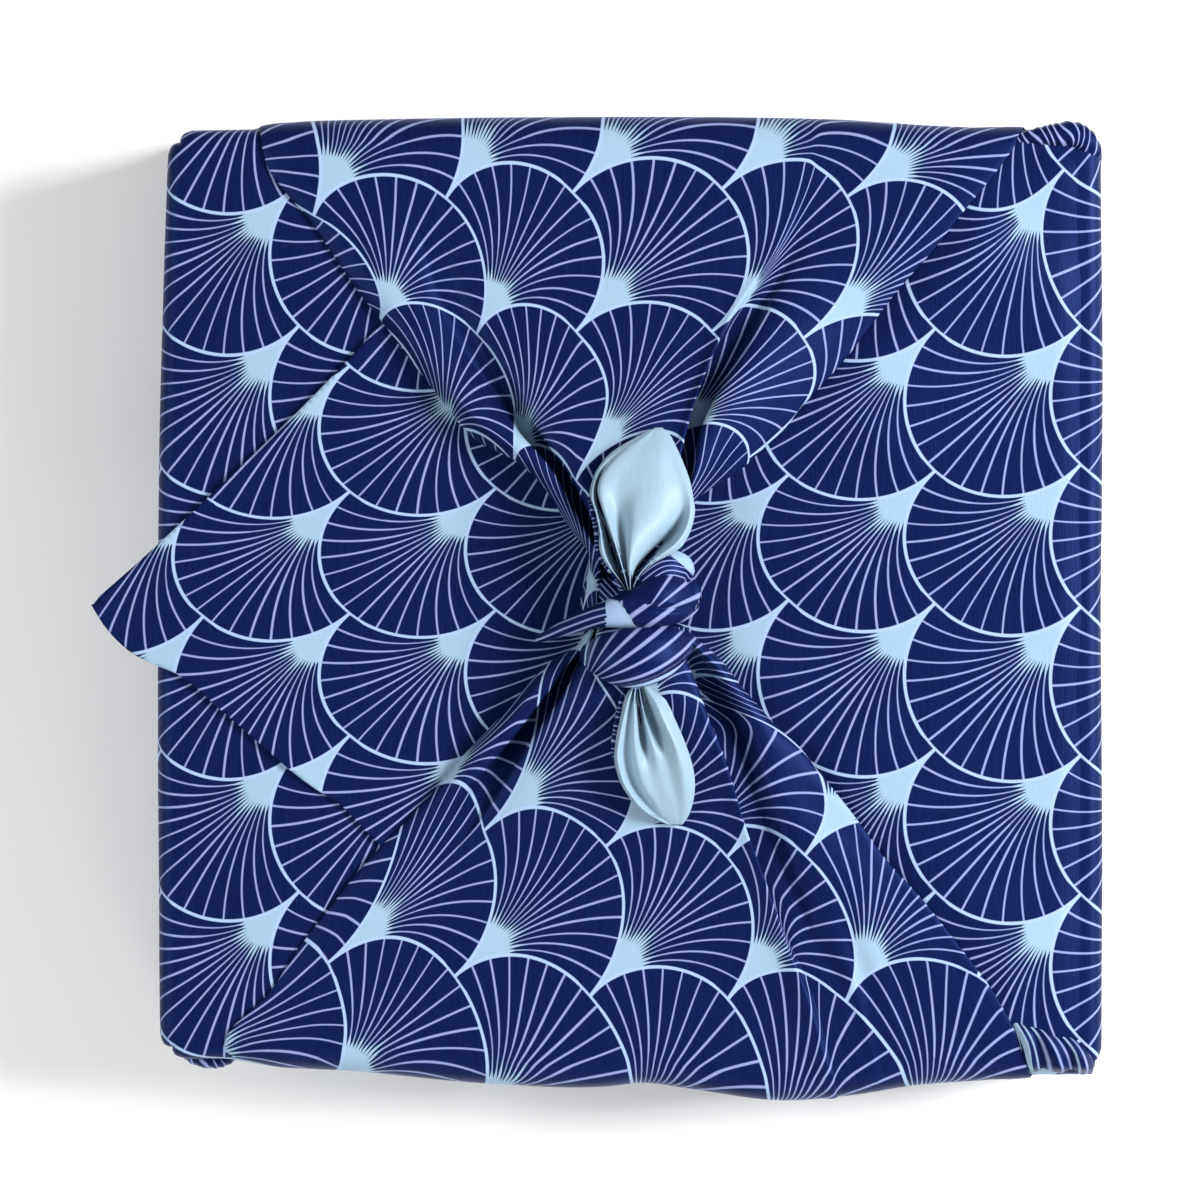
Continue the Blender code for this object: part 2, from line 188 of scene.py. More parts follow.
# Ribs are drawn by hand: each has its own width, and all are finer near the foot.
rib_number = node(tree, "FLOOR", sector)
fan_number = node(tree, "SUBTRACT", row, outside)
seed = node(tree, "MULTIPLY_ADD", fan_number, 7.3, rib_number)
chance = node(tree, "ShaderNodeTexWhiteNoise", {"W": seed}, noise_dimensions="1D")
finer = node(tree, "ShaderNodeMapRange", reach, 0.72, 1.35, 0.5 * RIB_HALF, RIB_HALF,
             interpolation_type="SMOOTHSTEP")
odd = node(tree, "MULTIPLY_ADD", chance, 0.4, 0.8)
half_width = node(tree, "MULTIPLY", finer, odd)
off_rim = node(tree, "SUBTRACT", disc, 1.0)
off_rim = node(tree, "ABSOLUTE", off_rim)
# The pale foot ends in uneven points that run out along the ribs, longest in the middle.
tilt = node(tree, "ABSOLUTE", lean)
middle = node(tree, "SUBTRACT", 1.0, tilt, use_clamp=True)
point = node(tree, "MULTIPLY_ADD", off_rib, -2.0, 1.0, use_clamp=True)
longest = node(tree, "MULTIPLY_ADD", middle, 0.12, 0.06)
uneven = node(tree, "MULTIPLY_ADD", chance, 1.5, 0.45)
longest = node(tree, "MULTIPLY", longest, uneven)
foot_end = node(tree, "MULTIPLY_ADD", point, longest, FOOT_LENGTH)
foot_end = node(tree, "MULTIPLY_ADD", middle, 0.07, foot_end)
foot_tone = node(tree, "ShaderNodeMapRange", reach, 0.85, 0.7, 0.0, 1.0, interpolation_type="SMOOTHSTEP")


def streaks(tree):
    """Dye takes a little unevenly, and the weave shows as fine streaks along the warp. Returns the
    cloth's places in threads, the streaks and their tone."""
    place = node(tree, "ShaderNodeUVMap", uv_map="cloth")
    threads = node(tree, "ShaderNodeMapping",
                   {"Vector": place, "Scale": (REPEAT / THREAD, REPEAT / STREAK, 1.0)})
    streak = node(tree, "ShaderNodeTexNoise",
                  {"Vector": threads, "Scale": 1.0, "Detail": 2.0, "Roughness": 0.6}, noise_dimensions="2D")
    return threads, streak, node(tree, "ShaderNodeMapRange", streak, 0.3, 0.7, 0.0, 1.0)


def surface(tree, colour, weave, strength, settings):
    """Joins a colour and the weave's relief to a surface, and sets its gloss and sheen."""
    bump = node(tree, "ShaderNodeBump", {"Height": weave, "Strength": strength, "Distance": RELIEF})
    satin = tree.nodes["Principled BSDF"]
    tree.links.new(colour.node.outputs[2], satin.inputs["Base Color"])
    tree.links.new(bump, satin.inputs["Normal"])
    for name, value in settings.items():
        satin.inputs[name].default_value = value


threads, _, warp_tone = streaks(tree)
rib_tone = node(tree, "ShaderNodeMix", {0: foot_tone, 6: linear(RIB), 7: linear(FOOT)}, data_type="RGBA")
colour = node(tree, "ShaderNodeMix", {0: warp_tone, 6: linear(NAVY), 7: linear(NAVY_DEEP)}, data_type="RGBA")
# Ribs, feet and rims are laid over the ground in turn, each as far from its middle as it reaches.
for extent, distance, ink in ((half_width, rib_distance, rib_tone.node.outputs[2]),
                              (foot_end, reach, linear(FOOT)),
                              (RIM_HALF, off_rim, linear(RIM))):
    over = node(tree, "SUBTRACT", extent, distance)
    cover = node(tree, "MULTIPLY_ADD", over, 1.0 / EDGE, 0.5, use_clamp=True)
    under = colour.node.outputs[2]
    colour = node(tree, "ShaderNodeMix", {0: cover, 6: under, 7: ink}, data_type="RGBA")
weave = node(tree, "ShaderNodeTexNoise",
             {"Vector": threads, "Scale": 1.3, "Detail": 1.0, "Roughness": 0.5}, noise_dimensions="2D")
surface(tree, colour, weave, 0.25,
        {"Roughness": 0.48, "Specular IOR Level": 0.28, "Specular Tint": linear("#5b86ec"),
         "Sheen Weight": 0.10, "Sheen Roughness": 0.3, "Sheen Tint": linear("#4a7ff0")})

# Unprinted side of the same satin: pale blue-green, smooth and a little brighter in gloss.
REVERSE, REVERSE_DEEP = "#8ba6b9", "#86a1b4"
reverse, tree = material("unprinted_polyester_satin")
_, streak, tone = streaks(tree)
colour = node(tree, "ShaderNodeMix", {0: tone, 6: linear(REVERSE), 7: linear(REVERSE_DEEP)}, data_type="RGBA")
surface(tree, colour, streak, 0.1,
        {"Roughness": 0.5, "Specular IOR Level": 0.3, "Sheen Weight": 0.15, "Sheen Tint": linear("#e6f6ff")})


def points_of(bm):
    """The points of a flat bmesh, in their own flat measure."""
    bm.verts.ensure_lookup_table()
    return np.array([v.co[:] for v in bm.verts])


def cloth_piece(name, bm, placed, print_at, thickness=CLOTH, outside=printed, inside=reverse):
    """Makes a sheet of cloth from a flat bmesh. placed holds its points in millimetres, and print_at
    each point's place in the print, or each face corner's where the print breaks at an edge."""
    mesh = bpy.data.meshes.new(name)
    bm.to_mesh(mesh)
    bm.free()
    mesh.vertices.foreach_set("co", (placed * MM).ravel())
    mesh.update()
    corner_vertex = np.empty(len(mesh.loops), np.int64)
    mesh.loops.foreach_get("vertex_index", corner_vertex)
    uv = print_at(mesh, corner_vertex) if callable(print_at) else print_at[corner_vertex]
    layer = mesh.uv_layers.new(name="cloth")
    layer.uv.foreach_set("vector", uv.astype(np.float32).ravel())
    mesh.shade_smooth()
    piece = bpy.data.objects.new(name, mesh)
    bpy.context.scene.collection.objects.link(piece)
    mesh.materials.append(outside)
    mesh.materials.append(inside)
    wall = piece.modifiers.new("thickness", "SOLIDIFY")
    wall.thickness = thickness * MM
    wall.offset = -1.0
    wall.material_offset = 1
    wall.material_offset_rim = 0
    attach(piece, "root")
    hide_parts("furoshiki_wrap")
    return piece


def spaced(half, edge, inner, outer):
    """Places of cuts from -half to half, inner to a side between the edges and outer over each edge."""
    middle = list(np.linspace(-(half - edge), half - edge, inner))
    bend = list(np.linspace(half - edge, half, outer + 1)[1:-1])
    return [-b for b in bend] + middle + bend


parcel = bmesh.new()
bmesh.ops.create_cube(parcel, size=1.0)
bmesh.ops.scale(parcel, vec=(2.0 * HALF, 2.0 * HALF, TOP), verts=parcel.verts)
# Cuts along each side of the parcel, up it and over its edges.
SIDE_CUTS, UPRIGHT_CUTS, EDGE_CUTS = 96, 20, 6
side_cuts = spaced(HALF, SOFT_EDGE, SIDE_CUTS, EDGE_CUTS)
for axis, cuts in enumerate((side_cuts, side_cuts, spaced(TOP / 2.0, SOFT_EDGE, UPRIGHT_CUTS, EDGE_CUTS))):
    for cut in cuts:
        point, normal = [0.0] * 3, [0.0] * 3
        point[axis], normal[axis] = cut, 1.0
        bmesh.ops.bisect_plane(parcel, geom=parcel.verts[:] + parcel.edges[:] + parcel.faces[:],
                               plane_co=point, plane_no=normal)


def stand_out(x, y):
    """How far the cloth stands out sideways from the parcel at a place near its sides."""
    out_x = np.where(x > 0, follow(RIGHT, "out", y), -follow(LEFT, "out", y))
    out_y = np.where(y > 0, follow(BACK, "out", x), -follow(FRONT, "out", x))
    inner, fade = HALF - 22.0, 20.0
    return out_x * smooth((np.abs(x) - inner) / fade), out_y * smooth((np.abs(y) - inner) / fade)


def round_parcel(flat):
    """Points of the cloth round the parcel, from those of a plain block."""
    size = np.array([HALF, HALF, TOP / 2.0])
    core = np.clip(flat, -(size - SOFT_EDGE), size - SOFT_EDGE)
    off = flat - core
    length = np.linalg.norm(off, axis=1, keepdims=True)
    placed = core + SOFT_EDGE * off / np.maximum(length, 1e-9)
    x, y, z = placed.T
    out_x, out_y = stand_out(x, y)
    z = z + TOP / 2.0
    slack = np.sin(math.pi * np.clip(z / TOP, 0.0, 1.0))
    lift = parcel_top(x, y) - TOP
    upper = smooth((z - TOP + 4.0) / 4.0)
    # Upright corners are rounder than the other edges.
    beside = np.stack([x, y], axis=1)
    past = beside - np.clip(beside, -(HALF - ROUND), HALF - ROUND)
    pulled = np.abs(past).max(axis=1) / np.maximum(np.linalg.norm(past, axis=1), 1e-9) - 1.0
    x, y = x + past[:, 0] * pulled, y + past[:, 1] * pulled
    end_wave = 0.35 * slack * ripple(y, z, 60.0, 5) * (np.abs(flat[:, 0]) > HALF - 1)
    x = x + out_x * (0.6 + 0.4 * slack) + end_wave
    # Where the cloth is drawn in at the base, it stays behind the corner that is drawn up over it.
    drawn_in = (out_y * y < 0) & (z < TOP / 2.0)
    y = y + out_y * np.where(drawn_in, 1.0, 0.6 + 0.4 * slack)
    return np.stack([x, y, z + lift * upper], axis=1)


# Where a column and a row of the print lie on the left layer and on the right one, and their pitch.
LEFT_COLUMN, LEFT_PITCH = -98.0, 41.5
LEFT_ROW, LEFT_ROW_PITCH = 81.0, 41.8
RIGHT_COLUMN, RIGHT_PITCH = 133.0, 43.2
# Heights of the right layer's print rows at places across it; the knot draws the middle rows closer.
Rows = namedtuple("Rows", "x up3 up2 up1 mid down1 down2 down3")
RIGHT_ROWS = rows_of(
    Rows,
    (-150, 109, 69, 30, -7.5, -50, -91, -133),
    (-125, 108, 69, 31, -4.8, -46, -87, -129),
    (-83, 110, 69, 32, -4, -40, -81, -124),
    (-40, 111, 70, 33, -3, -40.5, -82, -125),
    (46, 119, 78, 37, 0, -43, -85, -128),
    (89, 122, 80, 38, -1, -44, -86, -129),
    (133, 124, 81, 40, -2, -46, -87, -130))


def between_lines(value, lines, first):
    """Which print line a value falls on, counted from first, where lines gives their places. Outside
    them the count goes on at the print's own pitch."""
    lines = np.stack(lines)
    if lines[0].mean() > lines[-1].mean():
        value, lines = -value, -lines
    counted = first + (value - lines[0]) / REPEAT
    for k in range(len(lines) - 1):
        span = lines[k + 1] - lines[k]
        here = first + k + (value - lines[k]) / span
        counted = np.where(value >= lines[k], here, counted)
    beyond = first + len(lines) - 1 + (value - lines[-1]) / REPEAT
    return np.where(value >= lines[-1], beyond, counted)


def right_print(x, y):
    """The right layer's print. The tuck at the back right corner draws it a little that way."""
    drawn = smooth((y - 80.0) / 45.0) * smooth((x - 95.0) / 35.0)
    x, y = x + 5.0 * drawn, y - 3.2 * drawn
    rows = [follow(RIGHT_ROWS, name, x) for name in RIGHT_ROWS[0]._fields[1:]]
    return (RIGHT_COLUMN - x) / RIGHT_PITCH, between_lines(y, rows, -3.0)


def left_print(x, y):
    return (LEFT_COLUMN - x) / LEFT_PITCH, (LEFT_ROW - y) / LEFT_ROW_PITCH


parcel_flat = points_of(parcel)
parcel_placed = round_parcel(parcel_flat)


def run_over(place, off, off_up):
    """A place across the parcel, measured over the soft edge instead of straight across it."""
    bend = np.where(np.abs(off) > 1e-6, np.arctan2(np.abs(off), np.maximum(off_up, 0.0)), 0.0)
    return place + np.sign(off) * SOFT_EDGE * (bend - np.sin(bend))


def parcel_print(mesh, corner_vertex):
    """The left layer's print on the top and left half, the right one's on the right half. Both run
    on over the edges, and at the front and back they turn the corner below the bend."""
    flat = parcel_flat[corner_vertex]
    middle = np.repeat(flat.reshape(-1, 4, 3).mean(axis=1), 4, axis=0)
    size = np.array([HALF, HALF, TOP / 2.0]) - SOFT_EDGE
    off = flat - np.clip(flat, -size, size)
    x, y, z = parcel_placed[corner_vertex].T
    x_run, y_run = run_over(x, off[:, 0], off[:, 2]), run_over(y, off[:, 1], off[:, 2])
    drop = np.clip(TOP - SOFT_EDGE - z, 0.0, TOP)
    wall_start = HALF + SOFT_EDGE * (math.pi / 2.0 - 1.0)
    under = middle[:, 2] < -TOP / 2.0 + 0.01
    end_wall = (np.abs(middle[:, 1]) > HALF - 0.01) & (middle[:, 2] < TOP / 2.0 - SOFT_EDGE)
    round_corner = np.where(end_wall, np.sign(middle[:, 1]) * (HALF - np.abs(x)), 0.0)
    i_left, j_left = left_print(x_run, y_run)
    i_right, j_right = right_print(x_run, y_run)
    i_left = np.where(end_wall, (LEFT_COLUMN + wall_start) / LEFT_PITCH, i_left) + drop / REPEAT
    i_right = np.where(end_wall, (RIGHT_COLUMN - wall_start) / RIGHT_PITCH, i_right) - drop / REPEAT
    i = np.where(middle[:, 0] < 0, i_left, i_right)
    j = np.where(middle[:, 0] < 0, j_left, j_right) - round_corner / REPEAT
    i = np.where(under, (LEFT_COLUMN + wall_start) / LEFT_PITCH + (TOP + x + HALF) / REPEAT, i)
    j = np.where(under, (LEFT_ROW - y) / LEFT_ROW_PITCH, j)
    return np.stack([i, j], axis=1)


left_layer = cloth_piece("cloth_round_parcel", parcel, parcel_placed, parcel_print)

# ------------------------------
# Right corner of the same printed satin, folded over the left one and held down by the tied corners.
# Its free edges are narrow sewn hems, and its tip hangs past the parcel's left edge.

TIP = (-159.6, -0.8)
UPPER_EDGE = (-81.4, 74.4)    # a point on the tip's upper free edge
LOWER_EDGE = (-78.3, -68.6)   # and on its lower one
LAYER = 1.1                   # height of the corner over the layer below
CORNER_SIZE, CORNER_FACES = (298.0, 277.0), (178, 166)
CORNER_MIDDLE = -11.5         # the sheet reaches further to the left
RESTING = HALF - 7.0          # height of the layer below is read as far out as this
SINKING, SINK = HALF - 2.5, 12.0   # the corner sinks into that layer at the other edges, over this run
HANGING = -134.0              # beyond this the tip hangs free
# How far each free edge sags from a straight line, towards the front.
Slack = namedtuple("Slack", "x down")
UPPER_SLACK = rows_of(Slack, (-160, 0.2), (-145, 1.7), (-123, 2.4), (-88, 2.0), (-75, 0.5))
LOWER_SLACK = rows_of(Slack,
    (-160, 0.2), (-156, 3.2), (-149, 4.8), (-141, 2.6), (-134, -0.3), (-120, -0.5), (-92, -0.7), (-86, -2.0),
    (-81, -1.2), (-77, 0.0))

corner = bmesh.new()
bmesh.ops.create_grid(corner, x_segments=CORNER_FACES[0], y_segments=CORNER_FACES[1], size=0.5)
bmesh.ops.scale(corner, vec=(*CORNER_SIZE, 1.0), verts=corner.verts)
bmesh.ops.translate(corner, vec=(CORNER_MIDDLE, 0.0, 0.0), verts=corner.verts)
for edge, turn in ((UPPER_EDGE, 1.0), (LOWER_EDGE, -1.0)):
    along = (edge[0] - TIP[0], edge[1] - TIP[1])
    bmesh.ops.bisect_plane(corner, geom=corner.verts[:] + corner.edges[:] + corner.faces[:],
                           plane_co=(*TIP, 0.0), plane_no=(-along[1] * turn, along[0] * turn, 0.0),
                           clear_outer=True)


def free_edge_distance(x, y):
    """Distance from the nearer of the tip's two free edges."""
    found = []
    for edge, turn in ((UPPER_EDGE, 1.0), (LOWER_EDGE, -1.0)):
        along = np.array([edge[0] - TIP[0], edge[1] - TIP[1]])
        along /= np.linalg.norm(along)
        found.append(turn * (along[1] * (x - TIP[0]) - along[0] * (y - TIP[1])))
    return np.minimum(*found)


# Lines where the upper corners' right edges press this layer down; it swells just beyond them.
Press = namedtuple("Press", "x y along_x along_y length rise")
PRESSED = rows_of(Press, (50.5, 58.0, 0.632, 0.775, 88.0, 2.2), (50.0, -44.5, 0.61, -0.792, 102.0, 1.5))


def swell(x, y):
    """Rise of this layer beyond the pressed lines."""
    total = np.zeros_like(x)
    for line in PRESSED:
        run = (x - line.x) * line.along_x + (y - line.y) * line.along_y
        beyond = ((x - line.x) * line.along_y - (y - line.y) * line.along_x) * np.sign(line.along_y)
        held = smooth((run + 6.0) / 14.0) * smooth((line.length - run) / 18.0)
        total += line.rise * held * smooth((beyond + 1.0) / 10.0) * smooth((48.0 - beyond) / 38.0)
    return total


def lay_corner(flat):
    """Points of the right corner."""
    x, y, _ = flat.T
    distance = free_edge_distance(x, y)
    pull = np.where(y > 0, follow(UPPER_SLACK, "down", x), follow(LOWER_SLACK, "down", x))
    near_edge = smooth(1.0 - distance / 22.0) * smooth((-70.0 - x) / 8.0)
    y = y - pull * near_edge
    past_x = np.maximum(x - HALF + SOFT_EDGE, 0.0)
    past_y = np.maximum(np.abs(y) - HALF + SOFT_EDGE, 0.0)
    rest = parcel_top(np.maximum(x, -RESTING), np.clip(y, -RESTING, RESTING)) - SOFT_EDGE
    rest = rest + np.sqrt(SOFT_EDGE**2 - np.minimum(past_x**2 + past_y**2, SOFT_EDGE**2))
    fade = smooth((SINKING - x) / SINK) * smooth((SINKING - np.abs(y)) / SINK)
    lift = LAYER + 0.35 * smooth(1.0 - distance / 5.0) + 0.3 * ripple(x, y, 42.0, 11) + swell(x, y)
    over = np.maximum(HANGING - x, 0.0)
    droop = 0.0035 * over**2 + 0.3 * smooth(over / 10.0) * np.sin(y / 5.0)
    z = rest + lift * fade - 0.6 * (1.0 - fade) - droop
    return np.stack([x, y, z], axis=1)


corner_placed = lay_corner(points_of(corner))
corner_print = np.stack(right_print(corner_placed[:, 0], corner_placed[:, 1]), axis=1)
right_corner = cloth_piece("right_corner", corner, corner_placed, corner_print)

# ------------------------------
# Back and front corners, drawn up over the edge of the parcel and gathered to the knot. Their sides
# are folded under, and creases run from the knot out into the cloth.

Guide = namedtuple("Guide", "y x up")


def fold(y, x, up):
    """A guide line of a fold: its distances from the parcel's middle, places across and heights."""
    return rows_of(Guide, *zip(y, x, up))


# Guides of the back corner, from its left folded edge to its right one. Those of one crease share
# their distances from the middle.
BACK_SLIT_Y = (-4, 6, 15, 21, 26, 33, 40, 46, 52, 60, 68, 76, 90, 106, 121, 141)
BACK_NOSE_Y = (-4, 6, 14, 20, 28, 36, 44, 50, 58, 66, 74, 82, 92, 105, 120, 141)
BACK_GUIDES = [
    # left side
    fold((-4, 3, 9, 15, 21, 25, 31, 38, 43, 47, 51, 56, 62, 68, 74, 82, 91, 106, 114, 121, 128, 141),
         (-14.5, -14.5, -12.6, -12.4, -17, -19.8, -23.2, -29, -35.5, -44, -48.8, -52.8, -57.3, -62, -66.6,
          -72.5, -79.6, -90, -95.5, -101.5, -106.5, -110),
         (6, 7, 8, 8.5, 8, 7.4, 6.5, 5, 4, 3.2, 2.8, 2.5, 2.2, 2, 1.6, 1.2, 1, 0.8, 0.8, 0.8, 0.8, 0.8)),
    # left crest
    fold((-4, 3, 9, 15, 21, 25, 31, 38, 43, 47, 51, 56, 62, 68, 76, 84, 92, 106, 121, 141),
         (-12, -12, -10.8, -10.8, -15, -17.8, -21.6, -27, -32.5, -38, -42.6, -47.4, -52.4, -57, -63, -68.5,
          -74, -84, -97, -106),
         (12, 13, 13.6, 14, 13.8, 13, 12.2, 11.4, 11, 11.2, 11.4, 11, 10, 8.8, 7, 5.4, 4.2, 3, 2.3, 1.8)),
    # slit, left edge
    fold(BACK_SLIT_Y,
         (-9.4, -9, -9.6, -13, -15.8, -19.8, -24, -29.4, -35.6, -42.4, -48.2, -53.4, -60, -64, -66, -68),
         (13, 13.5, 14.2, 14, 13.2, 12.2, 11.4, 10.6, 9.8, 8.6, 7.2, 5.8, 3.9, 2.9, 2.3, 1.8)),
    # slit's floor, left
    fold(BACK_SLIT_Y,
         (-8.8, -8.8, -9.8, -13.2, -16.2, -20.2, -24.4, -28.8, -33, -38.8, -44.4, -49.4, -56, -60, -62.5,
          -64), (9, 8, 5, 2, 1, 0.8, 0.8, 1.6, 2.8, 3, 2.8, 2.7, 2.5, 2.3, 2.1, 1.8)),
    # slit's floor, right
    fold(BACK_SLIT_Y,
         (-6.2, -5.8, -6.9, -8.8, -11, -14.5, -18.8, -24, -28.4, -34.4, -40, -45, -51.5, -56, -58.5, -60),
         (9, 8, 5, 2, 1, 0.8, 0.8, 1.6, 2.6, 2.8, 2.7, 2.6, 2.4, 2.25, 2.1, 1.8)),
    # slit, right edge
    fold(BACK_SLIT_Y,
         (-5.5, -5, -6.8, -9, -11.4, -14.9, -19, -23.2, -26.8, -31, -35.5, -40, -46.5, -51.5, -54.5, -56),
         (13, 14, 16, 16.5, 16.3, 14.5, 12.3, 10.6, 9.4, 8.2, 7, 5.6, 3.9, 3, 2.35, 1.8)),
    # middle
    fold((-4, 6, 14, 20, 28, 36, 44, 54, 64, 75, 90, 104, 118, 141),
         (0, 0, 1, 1, 0, -1, -2, -3, -4, -4, -3, -2, -1, 0),
         (14, 16.5, 19, 19.2, 18, 15.6, 13.2, 10.6, 8.3, 6.2, 4.2, 3.1, 2.5, 1.8)),
    # shoulder
    fold((-4, 6, 14, 20, 28, 36, 44, 54, 64, 72, 80, 92, 105, 120, 141),
         (5, 6, 8, 9.5, 10.5, 11, 12, 14.5, 18, 20.5, 24, 31, 39, 46, 50),
         (13.5, 15.5, 17.5, 17.4, 15.8, 13.6, 11.8, 9.6, 7.6, 6.4, 5.4, 4, 3.1, 2.5, 1.8)),
    # nose
    fold(BACK_NOSE_Y, (7, 8, 10.5, 12, 13, 13.8, 14.8, 16.2, 18.4, 21.2, 24.4, 28.2, 34.5, 43, 50, 54),
         (12.5, 14, 15.5, 15.4, 14.2, 13, 11.8, 11, 10, 8.8, 7.4, 6, 4.5, 3.2, 2.4, 1.8)),
    # under the nose
    fold(BACK_NOSE_Y, (7, 7.8, 10, 11.2, 12, 12.6, 13.6, 15.2, 17.8, 21, 24.8, 29.4, 36.6, 45, 51.5, 55.5),
         (11, 12.5, 13, 11, 7.5, 4.6, 2.8, 2.2, 1.9, 1.8, 1.9, 2.2, 2.5, 2.5, 2.3, 1.8)),
    # fold's floor
    fold(BACK_NOSE_Y, (8, 8.8, 11.4, 13.2, 15, 16.4, 18, 19.8, 23, 27.6, 32.2, 36, 41.6, 48, 53.5, 57.5),
         (10.5, 12, 11.5, 9, 6, 3.8, 2.6, 2, 1.8, 1.7, 1.8, 2.1, 2.4, 2.4, 2.25, 1.8)),
    # fold's rise
    fold(BACK_NOSE_Y, (9.5, 10.2, 13, 14.6, 16.4, 18, 19.6, 21.2, 24.6, 29.4, 34.2, 38.2, 44.4, 53, 60, 64),
         (12, 13.6, 14.8, 14, 12.6, 11.8, 11.6, 11.4, 11, 10, 8.6, 7, 5.2, 3.5, 2.5, 1.8)),
    # right crest
    fold((-4, 6, 14, 20, 28, 33, 40, 46, 51, 58, 66, 74, 82, 93, 105, 116, 128, 141),
         (10.5, 11, 13.8, 15.4, 16.6, 19.6, 26.5, 33, 38.5, 44.5, 51, 57.5, 64, 74, 84.5, 94, 102, 110),
         (12, 13.5, 14.4, 12.8, 10.5, 9.2, 8, 7.4, 6.6, 6, 5.3, 4.7, 4.2, 3.7, 3.3, 3, 2.6, 1.8)),
    # right side
    fold((-4, 6, 15, 25, 30, 33, 36, 39, 42, 46, 51, 58, 66, 74, 82, 93, 105, 116, 126, 141),
         (12, 12, 14.8, 17.5, 19, 22.5, 27.5, 32, 35.5, 39.5, 45, 50.5, 58, 65, 71, 79.5, 90, 98.5, 106,
          117), (8, 9, 9, 7, 6, 5.4, 5, 4.6, 4.2, 3.8, 3.4, 3, 2.8, 2.7, 2.6, 2.5, 2.4, 2.2, 1.9, 0.8)),
]

